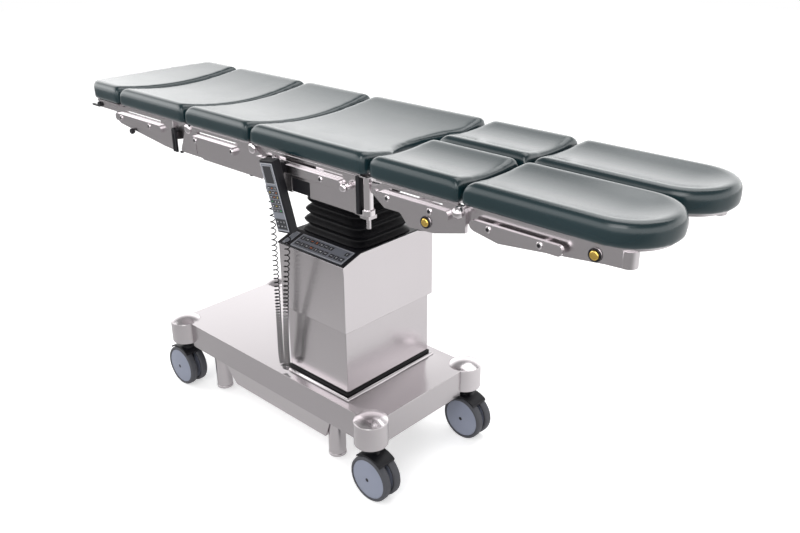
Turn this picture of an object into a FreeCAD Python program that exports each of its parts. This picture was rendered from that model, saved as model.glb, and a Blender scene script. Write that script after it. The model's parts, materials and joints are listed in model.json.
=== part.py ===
import FreeCAD, Part
import math
import os
import re

import Sketcher
from FreeCAD import Placement, Rotation, Vector

# Operating table with a powered column, a five-section top and a wheeled base.
# Millimetres. +X points to the foot end and +Z up. The near side is -Y, the floor is z = 0, and x = 0 is the
# column.

SIZES = {
    # fits
    "gap": 0.3,
    "play": 0.05,
    # base
    "post_head_x": -682,
    "post_foot_x": 265,
    "post_side_y": 218,
    "post_radius": 52,
    "post_bottom": 184,
    "post_height": 78,
    "cap_rise": 14,
    "skirt_half_y": 227,
    "skirt_head_x": -703,
    "skirt_foot_x": 286,
    "skirt_bottom": 171,
    "deck_top": 262,
    "sheet": 3,
    "pan_drop": 74,
    "pan_inset": 16,
    "pan_head_x": -480,
    "pan_foot_x": 77,
    "pan_slope_head": 72,
    "pan_slope_foot": 26,
    "rail_beam": 40,
    # stabiliser feet
    "foot_radius": 28,
    "foot_head_x": -532,
    "foot_foot_x": 68,
    "foot_inset": 51,
    "foot_lift": 28,
    "foot_top": 215,
    "foot_pad": 9,
    # casters
    "tyre_radius": 74,
    "tyre_width": 27,
    "rim_radius": 63,
    "rim_dome": 3,
    "twin_pitch": 42,
    "trail": 16,
    "axle_radius": 6,
    "stem_radius": 17,
    "hood_width": 11,
    # column
    "lower_half_x": 132,
    "lower_half_y": 182,
    "upper_half_x": 142,
    "upper_half_y": 192,
    "shoulder_half_y": 123,
    "gable": 24,
    "upper_length": 213,
    "shroud_lap": 43,
    "cap_sheet": 4,
    "cap_lip": 3,
    "collar_out": 15,
    "collar_height": 7,
    "gasket_out": 5,
    "gasket_top": 279,
    "mast_outer_half": 85,
    "mast_inner_half": 62,
    "mast_wall": 8,
    "mast_lap": 185,
    # tilting head inside the bellows
    "tilt_rise": 98,
    "tilt_below": 71,
    "trunnion_radius": 16,
    "cross_half": 34,
    "lug_thick": 16,
    "lug_half": 30,
    "bellows_base_x": 134,
    "bellows_base_y": 116,
    "bellows_top_x": 112,
    "bellows_top_y": 96,
    "bellows_step": 12,
    "bellows_depth": 13,
    "bellows_bore_x": 86,
    "bellows_bore_y": 76,
    "bellows_folds": 5,
    # table top
    "pad_half": 255,
    "pad_top": 1077,
    "pad_thick": 60,
    "dish": 27,
    "leg_dish": 13,
    "side_round": 20,
    "nose_round": 42,
    "tail_round": 24,
    "under_round": 6,
    "seam": 4,
    "thigh_corner": 24,
    "seat_corner": 20,
    "crest": 2,
    "head_tip_x": -1160,
    "head_corner_x": -1035,
    "head_joint_x": -879,
    "upper_joint_x": -495,
    "lower_joint_x": -172,
    "seat_end_x": 299,
    "knee_x": 605,
    "leg_tip_x": 1085,
    "leg_gap_half": 12,
    "notch_depth": 57,
    "notch_half": 140,
    "board": 6,
    "board_inset": 1,
    "board_drop": 0.3,
    "board_clear": 14,
    "hinge_below": 10.7,
    "pad_overhang": 15,
    "plate_thick": 10,
    "lug_inner": 8,
    "plate_depth": 105.7,
    "back_plate_depth": 95.7,
    "bay_x": -4,
    "bay_length": 76,
    "bay_height": 44,
    "rail_height": 25,
    "rail_thick": 10,
    "rail_below": 36.7,
    "slot_below": 13.7,
    "slot_half": 4,
    "hinge_pin": 7,
    "hinge_cap": 16,
    "cap_thick": 7,
    "tube_radius": 16,
    "small_pin": 6,
    "arm_height": 18,
    "lever_back": 75,
    "lever_drop": 18,
    "lever_shaft": 5,
    # legs
    "swivel_inset": 13,
    "swivel_in": 12,
    "swivel_radius": 13,
    "swivel_pin": 6,
    "swivel_below": 2.7,
    "swivel_length": 100,
    "ear_low": 10,
    "ear_high": 4,
    "strip": 12,
    "thigh_hinge_out": 40,
    "thigh_hinge_below": 26.7,
    "button_radius": 11,
    "button_ring": 15,
    "thigh_button_back": 110,
    "thigh_button_below": 66.7,
    "leg_button_back": 135,
    "leg_button_below": 24.7,
    "knob_radius": 15.5,
    "leg_end_radius": 20,
    # hand control
    "handset_width": 62,
    "handset_length": 215,
    "handset_thick": 28,
    "handset_x": -27,
    "socket_radius": 14,
    "socket_length": 21,
    "socket_inset": 2,
    "handset_out": 30,
    "handset_below": 113.7,
    "handset_swing": 8,
    "handset_lean": 7,
    "cord_radius": 9,
}

# Places that follow from the sizes: the whole top hangs from the height of the cushions, and the column
# from the top.
TIED = {
    "pad_under": "pad_top - pad_thick - board_drop",
    "plate_high": "pad_under - board",
    "hinge_height": "plate_high - hinge_below",
    "plate_bottom": "plate_high - plate_depth",
    "back_plate_bottom": "plate_high - back_plate_depth",
    "rail_centre": "plate_high - rail_below",
    "slot_height": "plate_high - slot_below",
    "bellows_top": "plate_bottom - bellows_step",
    "tilt_height": "bellows_top - tilt_below",
    "shoulder_high": "tilt_height - tilt_rise",
    "shoulder_low": "shoulder_high - gable",
    "upper_bottom": "shoulder_low - upper_length",
    "lower_top": "upper_bottom + shroud_lap",
    "mast_inner_bottom": "lower_top - mast_lap",
    "foot_side_y": "skirt_half_y - foot_inset",
    "plate_face": "pad_half - pad_overhang",
    "board_half": "plate_face - board_inset",
    "plate_inside": "plate_face - plate_thick",
    "lug_face": "plate_inside - gap",
    "lug_back": "lug_face - lug_inner",
    "notch_radius": "(notch_half * notch_half + notch_depth * notch_depth) / (2 * notch_depth)",
    "swivel_x": "seat_end_x - swivel_inset",
    "swivel_y": "plate_face - swivel_in",
    "swivel_top": "plate_high - swivel_below",
    "swivel_bottom": "swivel_top - swivel_length",
    "thigh_hinge_x": "swivel_x + thigh_hinge_out",
    "thigh_hinge_z": "plate_high - thigh_hinge_below",
    "thigh_button_x": "knee_x - thigh_button_back",
    "thigh_button_z": "plate_high - thigh_button_below",
    "leg_button_x": "leg_tip_x - leg_button_back",
    "leg_button_z": "plate_high - leg_button_below",
    "handset_y": "plate_face + handset_out",
    "handset_z": "plate_high - handset_below",
}

doc = FreeCAD.newDocument("OperatingTable")
sheet = doc.addObject("Spreadsheet::Sheet", "Sizes")
cells = {alias: str(number) for alias, number in SIZES.items()}
cells.update((alias, "=" + text) for alias, text in TIED.items())
for row, (alias, content) in enumerate(cells.items(), start=1):
    sheet.set(f"A{row}", alias)
    sheet.setAlias(f"B{row}", alias)
for row, content in enumerate(cells.values(), start=1):
    sheet.set(f"B{row}", content)
doc.recompute()

nodes = []
WORD = re.compile(r"[a-z][a-z_]*")
SIDES = {"near": -1, "far": 1}


def value(alias):
    return float(sheet.get(alias))


def bound(text):
    """An expression of sheet cells from plain words."""
    return WORD.sub(lambda m: "Sizes." + m.group() if m.group() in cells else m.group(), text)


def drive(thing, **places):
    for where, text in places.items():
        thing.setExpression(where.replace("_", "."), bound(text))


def node(label, thing):
    thing.Label = label
    nodes.append(thing)
    return thing


def group(label, things):
    whole = doc.addObject("Part::Compound", "group_" + label)
    whole.Links = things
    return node(label, whole)


def box(name, x, y, z):
    """A block between pairs of expressions."""
    made = doc.addObject("Part::Box", name)
    for side, place, (low, high) in (("Length", "x", x), ("Width", "y", y), ("Height", "z", z)):
        made.setExpression(side, bound(f"({high}) - ({low})"))
        made.setExpression(f"Placement.Base.{place}", bound(low))
    return made


TURNS = {"X": Vector(1, 0, 0), "Y": Vector(0, 1, 0), "Z": Vector(0, 0, 1)}


def rod(name, radius, length, at, axis="Z"):
    """A round bar from a point along an axis."""
    made = doc.addObject("Part::Cylinder", name)
    made.Placement = Placement(Vector(0, 0, 0), Rotation(Vector(0, 0, 1), TURNS[axis]))
    drive(made, Radius=radius, Height=length)
    for place, text in zip("xyz", at):
        made.setExpression(f"Placement.Base.{place}", bound(text))
    return made


def cut(name, base, tools):
    for number, tool in enumerate(tools):
        step = doc.addObject("Part::Cut", f"{name}_{number}")
        step.Base, step.Tool = base, tool
        base = step
    return base


def fuse(name, things):
    made = doc.addObject("Part::MultiFuse", name)
    made.Shapes = things
    return made


PLANES = {"XY": "XY_Plane", "XZ": "XZ_Plane", "YZ": "YZ_Plane"}


def plate(name, plane, outline, thick, offset, rounds=(), holes=(), slots=()):
    """A padded sketch: outline points, corner rounds, round holes and slots, every one bound to the sheet.

    The sheet lies in an origin plane; offset moves it along the plane's normal axis of the model.
    """
    body = doc.addObject("PartDesign::Body", name)
    sketch = body.newObject("Sketcher::SketchObject", name + "_outline")
    sketch.AttachmentSupport = [(find_plane(body, plane), "")]
    sketch.MapMode = "FlatFace"
    count = len(outline)
    angles = [2 * math.pi * i / count for i in range(count)]
    ring = [Vector(math.cos(angle), math.sin(angle), 0) * 100 for angle in angles]
    for i in range(count):
        sketch.addGeometry(Part.LineSegment(ring[i], ring[(i + 1) % count]), False)
    for i in range(count):
        sketch.addConstraint(Sketcher.Constraint("Coincident", i, 2, (i + 1) % count, 1))
    for i, point in enumerate(outline):
        pin_point(sketch, i, 1, point)
    for across, up, radius in holes:
        circle = sketch.addGeometry(Part.Circle(Vector(1, 1, 0), Vector(0, 0, 1), 5), False)
        pin_point(sketch, circle, 3, (across, up))
        size = sketch.addConstraint(Sketcher.Constraint("Radius", circle, 5))
        sketch.setExpression(f"Constraints[{size}]", bound(radius))
    pad = body.newObject("PartDesign::Pad", name + "_pad")
    pad.Profile = sketch
    pad.setExpression("Length", bound(thick))
    doc.recompute()
    last = pad
    if rounds:
        last = round_corners(body, sketch, pad, plane, rounds)
    if slots:
        cut_slots(body, name, plane, slots, thick)
    drive(body, **{f"Placement_Base_{'zyx'[('XY', 'XZ', 'YZ').index(plane)]}": offset})
    return body


def find_plane(body, plane):
    return next(f for f in body.Origin.OriginFeatures if f.Role == PLANES[plane])


def pin_point(sketch, shape, spot, point):
    for kind, text in zip(("DistanceX", "DistanceY"), point):
        held = sketch.addConstraint(Sketcher.Constraint(kind, -1, 1, shape, spot, 1.0))
        sketch.setExpression(f"Constraints[{held}]", bound(text))


def in_plane(plane, point):
    across, up = point.x, point.y
    return {"XY": (across, up, None), "XZ": (across, None, up), "YZ": (None, across, up)}[plane]


def round_corners(body, sketch, pad, plane, rounds):
    """Rounds the upright edges at outline points; each round is (point numbers, radius)."""
    last = pad
    for number, (corners, radius) in enumerate(rounds):
        marks = [in_plane(plane, sketch.getPoint(i, 1)) for i in corners]
        names = []
        for index, edge in enumerate(last.Shape.Edges, start=1):
            ends = [v.Point for v in edge.Vertexes]
            if len(ends) == 2 and any(all(near(e, mark) for e in ends) for mark in marks):
                names.append(f"Edge{index}")
        fillet = body.newObject("PartDesign::Fillet", f"{sketch.Name}_round_{number}")
        fillet.Base = (last, names)
        fillet.setExpression("Radius", bound(radius))
        doc.recompute()
        last = fillet
    return last


def near(point, mark):
    return all(want is None or abs(have - want) < 0.01 for have, want in zip(point, mark))


def cut_slots(body, name, plane, slots, thick):
    """Long round-ended holes, each given as (start across, end across, height, half width)."""
    sketch = body.newObject("Sketcher::SketchObject", name + "_slots")
    sketch.AttachmentSupport = [(find_plane(body, plane), "")]
    sketch.MapMode = "FlatFace"
    for start, end, height, half in slots:
        corners = [(start, f"{height} - ({half})"), (end, f"{height} - ({half})")]
        corners += [(end, f"{height} + ({half})"), (start, f"{height} + ({half})")]
        first = sketch.GeometryCount
        spots = [Vector(0, 0, 0), Vector(10, 0, 0), Vector(10, 5, 0), Vector(0, 5, 0)]
        for i in range(4):
            sketch.addGeometry(Part.LineSegment(spots[i], spots[(i + 1) % 4]), False)
        for i in range(4):
            sketch.addConstraint(Sketcher.Constraint("Coincident", first + i, 2, first + (i + 1) % 4, 1))
            pin_point(sketch, first + i, 1, corners[i])
    pocket = body.newObject("PartDesign::Pocket", name + "_pocket")
    pocket.Profile = sketch
    pocket.Type = 1
    pocket.Midplane = True
    doc.recompute()


def feature(name, shape, turn=None):
    made = doc.addObject("Part::Feature", name)
    made.Shape = shape
    made.Placement = turn or Placement()
    return made


def turned(profile, centre, axis):
    """A solid of revolution; the profile is (radius, distance along the axis)."""
    side = Vector(1, 0, 0) if axis != "X" else Vector(0, 1, 0)
    points = [centre + side * r + TURNS[axis] * a for r, a in profile]
    return Part.Face(Part.makePolygon(points + points[:1])).revolve(centre, TURNS[axis], 360)


def flip(side, low, high):
    """A span across the table for one side, from inner and outer distances."""
    if SIDES[side] > 0:
        return (low, high)
    return (f"-({high})", f"-({low})")


def on_posts(make):
    """One thing for each of the four corners of the base."""
    return [
        make(f"{side}_{end}", f"post_{end}_x", f"{sign} * post_side_y")
        for side, sign in SIDES.items()
        for end in ("head", "foot")
    ]


# Base: chassis, cover, posts and feet


def base_chassis():
    half, inner = "skirt_half_y - sheet - gap", "skirt_half_y - sheet - gap - rail_beam"
    low, high = "skirt_bottom", "deck_top - sheet"
    head, foot = "skirt_head_x + sheet + gap", "skirt_foot_x - sheet - gap"
    ends = ("post_head_x + post_radius + 1", "post_foot_x - post_radius - 1")
    beams = [
        box("beam_near", ends, (f"-({half})", f"-({inner})"), (low, high)),
        box("beam_far", ends, (inner, half), (low, high)),
        box("cross_head", (head, "post_head_x + 20"), (f"-({inner}) + 25", f"{inner} - 25"), (low, high)),
        box("cross_foot", ("post_foot_x - 20", foot), (f"-({inner}) + 25", f"{inner} - 25"), (low, high)),
    ]
    for side in SIDES:
        sign = SIDES[side]
        y = (f"-({inner})", "-mast_outer_half - 1") if sign < 0 else ("mast_outer_half + 1", inner)
        for end, x in (("head", "-mast_outer_half"), ("foot", "mast_outer_half - rail_beam")):
            beams.append(box(f"bridge_{side}_{end}", (x, f"{x} + rail_beam"), y, (low, high)))
    posts = on_posts(lambda tag, x, y: rod("clear_" + tag, "post_radius + gap", "400", (x, y, "0")))
    arms = []
    for side, sign in SIDES.items():
        y = (f"-({inner}) + 25", f"-({inner}) + 25 + rail_beam")
        y = y if sign < 0 else (f"{inner} - 25 - rail_beam", f"{inner} - 25")
        arms.append(box("spine_" + side, ("post_head_x + 20", "post_foot_x - 20"), y, (low, high)))
    bodies = [fuse("chassis_frame", beams + arms)]
    for foot_end in ("head", "foot"):
        for side, sign in SIDES.items():
            bodies[0:1] = [
                cut(
                    f"chassis_{foot_end}_{side}",
                    bodies[0],
                    [rod(f"bay_{foot_end}_{side}", "foot_radius + gap", "400",
                         (f"foot_{foot_end}_x", f"{sign} * foot_side_y", "0"))],
                )
            ]
    return node("base_chassis", cut("chassis", bodies[0], posts))


def base_cover():
    """The stainless cover: a folded lid with skirts, notched round the posts and open below the mast."""
    outer = box("cover_outer", ("skirt_head_x", "skirt_foot_x"), ("-skirt_half_y", "skirt_half_y"),
                ("skirt_bottom", "deck_top"))
    inside = box("cover_inside", ("skirt_head_x + sheet", "skirt_foot_x - sheet"),
                 ("-skirt_half_y + sheet", "skirt_half_y - sheet"), ("skirt_bottom - 1", "deck_top - sheet"))
    well = box("cover_well", ("-mast_outer_half - 1", "mast_outer_half + 1"),
               ("-mast_outer_half - 1", "mast_outer_half + 1"), ("skirt_bottom", "deck_top + 1"))
    posts = on_posts(lambda tag, x, y: rod("notch_" + tag, "post_radius + gap", "400", (x, y, "0")))
    cover = cut("cover", outer, [inside, well] + posts)
    rim = box("collar_outer", ("-lower_half_x - collar_out", "lower_half_x + collar_out"),
              ("-lower_half_y - collar_out", "lower_half_y + collar_out"),
              ("deck_top", "deck_top + collar_height"))
    bore = box("collar_inner", ("-lower_half_x + 8", "lower_half_x - 8"),
               ("-lower_half_y + 8", "lower_half_y - 8"), ("deck_top - 1", "deck_top + collar_height + 1"))
    bead = doc.addObject("Part::Chamfer", "collar_bead")
    bead.Base = cut("collar", rim, [bore])
    doc.recompute()
    shape = bead.Base.Shape
    top = [i for i, e in enumerate(shape.Edges, start=1) if on_rim(e)]
    size = value("collar_height") * 0.6
    bead.Edges = [(i, size, size) for i in top]
    return node("base_cover", fuse("cover_with_collar", [cover, bead]))


def on_rim(edge):
    box_of = edge.BoundBox
    height = value("deck_top") + value("collar_height")
    far_out = max(abs(box_of.XMin) - value("lower_half_x"), abs(box_of.YMin) - value("lower_half_y"),
                  abs(box_of.XMax) - value("lower_half_x"), abs(box_of.YMax) - value("lower_half_y"))
    return abs(box_of.ZMin - height) < 0.01 and abs(box_of.ZMax - height) < 0.01 and far_out > 1


def base_under_pan():
    """The shallow tray that hangs between the casters, with sloping ends and round the foot jacks."""
    low, high, half = "skirt_bottom - pan_drop", "skirt_bottom - gap", "skirt_half_y - pan_inset"
    outline = [("pan_head_x", high), ("pan_head_x + pan_slope_head", low),
               ("pan_foot_x - pan_slope_foot", low),
               ("pan_foot_x", high)]
    tray = plate("pan_tray", "XZ", outline, f"2 * ({half})", half)
    tools = [box("pan_hollow",
                 ("pan_head_x + pan_slope_head + sheet", "pan_foot_x - pan_slope_foot - foot_radius - sheet"),
                 (f"-({half}) + sheet", f"{half} - sheet"), (f"{low} + sheet", "skirt_bottom + 1"))]
    for side, sign in SIDES.items():
        tools.append(rod("pan_bay_" + side, "foot_radius + 1 + gap", "skirt_bottom",
                         ("foot_foot_x", f"{sign} * foot_side_y", "0")))
    return node("base_under_pan", cut("pan", tray, tools))


def corner_posts():
    return group("corner_posts", on_posts(
        lambda tag, x, y: rod("post_" + tag, "post_radius", "post_height", (x, y, "post_bottom"))))


def post_caps():
    def dome(tag, x, y):
        top = "post_bottom + post_height"
        ball = doc.addObject("Part::Sphere", "ball_" + tag)
        reach = "((post_radius^2 + cap_rise^2) / (2 * cap_rise))"
        ball.setExpression("Radius", bound(reach))
        for place, text in zip("xyz", (x, y, f"{top} + cap_rise - {reach}")):
            ball.setExpression(f"Placement.Base.{place}", bound(text))
        disc = rod("disc_" + tag, "post_radius", "cap_rise", (x, y, top))
        made = doc.addObject("Part::MultiCommon", "dome_" + tag)
        made.Shapes = [ball, disc]
        return made

    return group("post_caps", on_posts(dome))


def stabiliser_feet():
    """Four steel jacks with a rubber sole each."""
    made = []
    for side, sign in SIDES.items():
        for end in ("head", "foot"):
            at = (f"foot_{end}_x", f"{sign} * foot_side_y")
            made.append(rod(f"jack_{side}_{end}", "foot_radius", "foot_top - foot_lift - foot_pad",
                            (*at, "foot_lift + foot_pad")))
            made.append(rod(f"sole_{side}_{end}", "foot_radius + 1", "foot_pad", (*at, "foot_lift")))
    return group("stabiliser_feet", made)


# Casters


def caster(side, end):
    tag = f"{side}_{end}"
    x, y = value(f"post_{end}_x"), SIDES[side] * value("post_side_y")
    way = 1 if end == "foot" else -1
    axle = Vector(x + way * value("trail"), y, value("tyre_radius"))
    node(f"caster_fork_{tag}", feature("fork_" + tag, fork_shape(Vector(x, y, 0), axle)))
    tyres, wheels = [], []
    for number, out in enumerate((-1, 1)):
        centre = axle + Vector(0, out * value("twin_pitch") / 2, 0)
        tyres.append(feature(f"tyre_{tag}_{number}", turned(tyre_profile(), centre, "Y")))
        wheels.append(feature(f"wheel_{tag}_{number}", turned(wheel_profile(out), centre, "Y")))
    group("caster_tyres_" + tag, tyres)
    group("caster_wheels_" + tag, wheels)


def tyre_profile():
    """Half the section of a tyre, closed at its bore: a flat tread with round shoulders."""
    half, outer, bore = value("tyre_width") / 2, value("tyre_radius"), value("rim_radius")
    shoulder = [(outer - 7 + 7 * math.sin(a), half - 7 + 7 * math.cos(a)) for a in (0, 0.52, 1.05, 1.57)]
    right = [(bore, half - 1)] + shoulder
    left = [(r, -a) for r, a in reversed(right)]
    return right + left


def wheel_profile(out):
    """A wheel disc with a shallow dome on its outer face and a bore for the axle."""
    half, rim = value("tyre_width") / 2, value("rim_radius") - value("play")
    bore = value("axle_radius") + value("play")
    face = [(rim, half - 2), (rim * 0.8, half), (rim * 0.45, half + value("rim_dome")),
            (bore, half + value("rim_dome"))]
    back = [(bore, -half + 3), (rim * 0.5, -half + 3), (rim * 0.6, -half + 6), (rim, -half + 6)]
    if out > 0:
        return face + back
    return [(r, -a) for r, a in face + back]


def fork_shape(post, axle):
    """A swivel stem, a hood over the wheels, a web between them and the axle."""
    z_top = value("post_bottom") - value("gap")
    hood = value("hood_width") / 2
    stem = Part.makeCylinder(value("stem_radius") + 8, 8, Vector(post.x, post.y, z_top - 8))
    neck = Part.makeCylinder(value("stem_radius"), 30, Vector(post.x, post.y, z_top - 34))
    reach = value("tyre_radius") * 0.62
    web = Part.makeCylinder(reach, 2 * hood, Vector(axle.x, axle.y - hood, axle.z), Vector(0, 1, 0))
    over = Part.makeBox(2 * value("stem_radius"), 2 * hood, z_top - 12 - axle.z,
                        Vector(post.x - value("stem_radius"), axle.y - hood, axle.z))
    span = value("twin_pitch") + value("tyre_width") + 2 * value("rim_dome") - 2
    shaft = Part.makeCylinder(value("axle_radius"), span, Vector(axle.x, axle.y - span / 2, axle.z),
                              Vector(0, 1, 0))
    crown = crown_shape(post, axle, z_top)
    return stem.fuse([neck, web, over, shaft, crown]).removeSplitter()


def crown_shape(post, axle, z_top):
    """The hood that arches over both wheels, clear of the tyres."""
    inner = value("tyre_radius") + 2.5
    outer = inner + 5
    half = (value("twin_pitch") + value("tyre_width")) / 2 - 2
    low = Vector(axle.x, axle.y - half, axle.z)
    arch = Part.makeCylinder(outer, 2 * half, low, Vector(0, 1, 0))
    arch = arch.cut(Part.makeCylinder(inner, 2 * half, low, Vector(0, 1, 0)))
    keep = Part.makeBox(96, 2 * half, 60,
                        Vector(axle.x - 48, axle.y - half, axle.z + value("tyre_radius") * 0.72))
    bridge = Part.makeCylinder(value("stem_radius") + 4, 10, Vector(post.x, post.y, z_top - 34))
    wide = Part.makeBox(30, value("hood_width"), 26,
                        Vector(axle.x - 15, axle.y - value("hood_width") / 2, z_top - 34 - 10))
    hood = arch.common(keep).fuse([bridge, wide])
    for way in (-1, 1):
        start = Vector(axle.x, axle.y + way * value("hood_width") / 2, axle.z)
        hood = hood.cut(Part.makeCylinder(inner, 2 * half, start, Vector(0, way, 0)))
    return hood


# Column


def shroud(name, half_x, half_y, low, high):
    outer = box(name + "_outer", (f"-{half_x}", half_x), (f"-{half_y}", half_y), (low, high))
    inner = box(name + "_inner", (f"-{half_x} + sheet", f"{half_x} - sheet"),
                (f"-{half_y} + sheet", f"{half_y} - sheet"), (f"({low}) - 1", f"({high}) + 1"))
    return cut(name, outer, [inner])


def lower_shroud():
    return node("lower_shroud",
                shroud("low_shroud", "lower_half_x", "lower_half_y", "gasket_top", "lower_top"))


def column_gasket():
    low = "deck_top + collar_height"
    outer = box("gasket_outer", ("-lower_half_x - gasket_out", "lower_half_x + gasket_out"),
                ("-lower_half_y - gasket_out", "lower_half_y + gasket_out"), (low, "gasket_top"))
    inner = box("gasket_inner", ("-lower_half_x + 6", "lower_half_x - 6"),
                ("-lower_half_y + 6", "lower_half_y - 6"), (f"{low} - 1", "gasket_top + 1"))
    return node("column_gasket", cut("gasket", outer, [inner]))


def mast_outer():
    half, wall = "mast_outer_half", "mast_wall"
    outer = box("mast_out_outer", (f"-{half}", half), (f"-{half}", half), ("skirt_bottom", "lower_top - 12"))
    bore = f"{half} - {wall}"
    inner = box("mast_out_inner", (f"-{half} + {wall}", bore), (f"-{half} + {wall}", bore),
                ("skirt_bottom - 1", "lower_top"))
    liner = box("mast_guide_outer", (f"-({bore})", bore), (f"-({bore})", bore),
                ("lower_top - 62", "lower_top - 12"))
    port = "mast_inner_half + gap"
    hole = box("mast_guide_inner", (f"-({port})", port), (f"-({port})", port),
               ("lower_top - 70", "lower_top"))
    return node("lift_mast_outer",
                fuse("mast_out_whole", [cut("mast_out", outer, [inner]), cut("mast_guide", liner, [hole])]))


def shoulder_outline(rise):
    """The gabled top of the column across its width: low at both sides, high in the middle."""
    return [
        ("-upper_half_y", f"shoulder_low + {rise}"),
        ("-shoulder_half_y", f"shoulder_high + {rise}"),
        ("shoulder_half_y", f"shoulder_high + {rise}"),
        ("upper_half_y", f"shoulder_low + {rise}"),
    ]


def upper_shroud():
    outline = [("upper_half_y", "upper_bottom"), ("-upper_half_y", "upper_bottom")] + shoulder_outline("0")
    solid = plate("shroud_gable", "YZ", outline, "2 * upper_half_x", "-upper_half_x")
    inner = box("shroud_inner", ("-upper_half_x + sheet", "upper_half_x - sheet"),
                ("-upper_half_y + sheet", "upper_half_y - sheet"), ("upper_bottom - 1", "shoulder_high + 20"))
    return node("upper_shroud", cut("top_shroud", solid, [inner]))


def shoulder_cap():
    """The black cap: a bent sheet over the gable, with a hole for the tilting head."""
    over = [(f"{y} {'-' if y.startswith('-') else '+'} cap_lip" if "upper" in y else y, z)
            for y, z in shoulder_outline("cap_sheet + gap")]
    under = [(y, z) for y, z in reversed(
        [(f"{y} {'-' if y.startswith('-') else '+'} cap_lip" if "upper" in y else y, z)
         for y, z in shoulder_outline("gap")])]
    sheet_body = plate("cap_sheet_body", "YZ", over + under, "2 * (upper_half_x + cap_lip)",
                       "-upper_half_x - cap_lip")
    hole = box("cap_hole", ("-mast_inner_half - 6", "mast_inner_half + 6"),
               ("-mast_inner_half - 6", "mast_inner_half + 6"), ("shoulder_low", "shoulder_high + 40"))
    return node("shoulder_cap", cut("cap", sheet_body, [hole]))


def control_overlay():
    """Two membrane panels on the near slope of the cap."""
    rise = value("shoulder_high") - value("shoulder_low")
    run = value("upper_half_y") + value("cap_lip") - value("shoulder_half_y")
    slope = math.atan2(rise, run)
    foot = Vector(0, -value("upper_half_y") - value("cap_lip"),
                  value("shoulder_low") + value("cap_sheet") + value("gap"))
    along = Vector(0, math.cos(slope), math.sin(slope))
    up = Vector(0, -math.sin(slope), math.cos(slope))
    panels = []
    for start, end in ((-92, 132), (-128, -104)):
        low = foot + Vector(start, 0, 0) + along * 5 + up * 0.2
        corners = [low, low + Vector(end - start, 0, 0), low + Vector(end - start, 0, 0) + along * 60,
                   low + along * 60]
        face = Part.Face(Part.makePolygon(corners + corners[:1]))
        panels.append(feature(f"panel_{len(panels)}", face.extrude(up * 1.2)))
    return group("control_overlay", panels)


def mast_inner():
    """The moving mast with the two lugs that carry the cross trunnion."""
    half = "mast_inner_half"
    tube = box("mast_in_tube", (f"-{half}", half), (f"-{half}", half),
               ("mast_inner_bottom", "shoulder_high + 12"))
    guide = "mast_outer_half - mast_wall - gap"
    shoe = box("mast_in_shoe", (f"-({guide})", guide), (f"-({guide})", guide),
               ("mast_inner_bottom", "mast_inner_bottom + 50"))
    rim = "upper_half_x - sheet - gap"
    head = box("mast_in_head", (f"-({rim})", rim), ("-shoulder_half_y", "shoulder_half_y"),
               ("shoulder_high - 8", "shoulder_high"))
    bore = box("mast_in_bore", (f"-{half} + mast_wall", f"{half} - mast_wall"),
               (f"-{half} + mast_wall", f"{half} - mast_wall"), ("mast_inner_bottom - 1", "shoulder_high"))
    lugs = []
    for side, sign in SIDES.items():
        low, high = ("cross_half + 1", "cross_half + 1 + lug_thick")
        y = (low, high) if sign > 0 else (f"-({high})", f"-({low})")
        lugs.append(box("yoke_lug_" + side, ("-lug_half", "lug_half"), y,
                        ("shoulder_high + 5", "tilt_height")))
        lugs.append(rod("yoke_eye_" + side, "lug_half", "lug_thick", ("0", y[0], "tilt_height"), "Y"))
    whole = fuse("mast_in_whole", [tube, shoe, head] + lugs)
    pin = rod("yoke_bore", "trunnion_radius + play", "400", ("0", "-200", "tilt_height"), "Y")
    return node("lift_mast_inner", cut("mast_in", whole, [bore, pin]))


def tilt_cross():
    """The cross-shaped trunnion: one shaft across the table, one along it."""
    reach = "cross_half + 1 + lug_thick"
    block = box("cross_block", ("-cross_half", "cross_half"), ("-cross_half", "cross_half"),
                ("tilt_height - trunnion_radius - 5", "tilt_height + trunnion_radius + 5"))
    across = rod("cross_across", "trunnion_radius", f"2 * ({reach})", ("0", f"-({reach})", "tilt_height"),
                 "Y")
    along = rod("cross_along", "trunnion_radius", f"2 * ({reach})", (f"-({reach})", "0", "tilt_height"), "X")
    return node("tilt_cross", fuse("cross", [block, across, along]))


def bellows():
    """A folded rubber skirt: rounded rectangles that go in and out, smaller towards the top."""
    folds = int(value("bellows_folds"))
    low = value("shoulder_high") + value("cap_sheet") + 2 * value("gap")
    step = (value("bellows_top") - low) / (2 * folds)
    rings = []
    for i in range(2 * folds + 1):
        share = i / (2 * folds)
        half_x = value("bellows_base_x") + share * (value("bellows_top_x") - value("bellows_base_x"))
        half_y = value("bellows_base_y") + share * (value("bellows_top_y") - value("bellows_base_y"))
        tuck = value("bellows_depth") if i % 2 else 0
        rings.append(rounded_ring(half_x - tuck, half_y - tuck, 26, low + i * step))
    skin = Part.makeLoft(rings, True, True)
    bore_x, bore_y = value("bellows_bore_x"), value("bellows_bore_y")
    tall = value("bellows_top") - low
    inner = Part.makeBox(2 * bore_x, 2 * bore_y, 2 * tall, Vector(-bore_x, -bore_y, low - tall / 2))
    return node("bellows", feature("bellows_skin", skin.cut(inner)))


def rounded_ring(half_x, half_y, radius, z):
    """A rectangle with cut corners at height z."""
    x, y, r = half_x, half_y, radius * 0.6
    points = [(x, -y + r), (x, y - r), (x - r, y), (-x + r, y), (-x, y - r), (-x, -y + r), (-x + r, -y),
              (x - r, -y)]
    return Part.makePolygon([Vector(a, b, z) for a, b in points + points[:1]])


# Cushions


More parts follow.
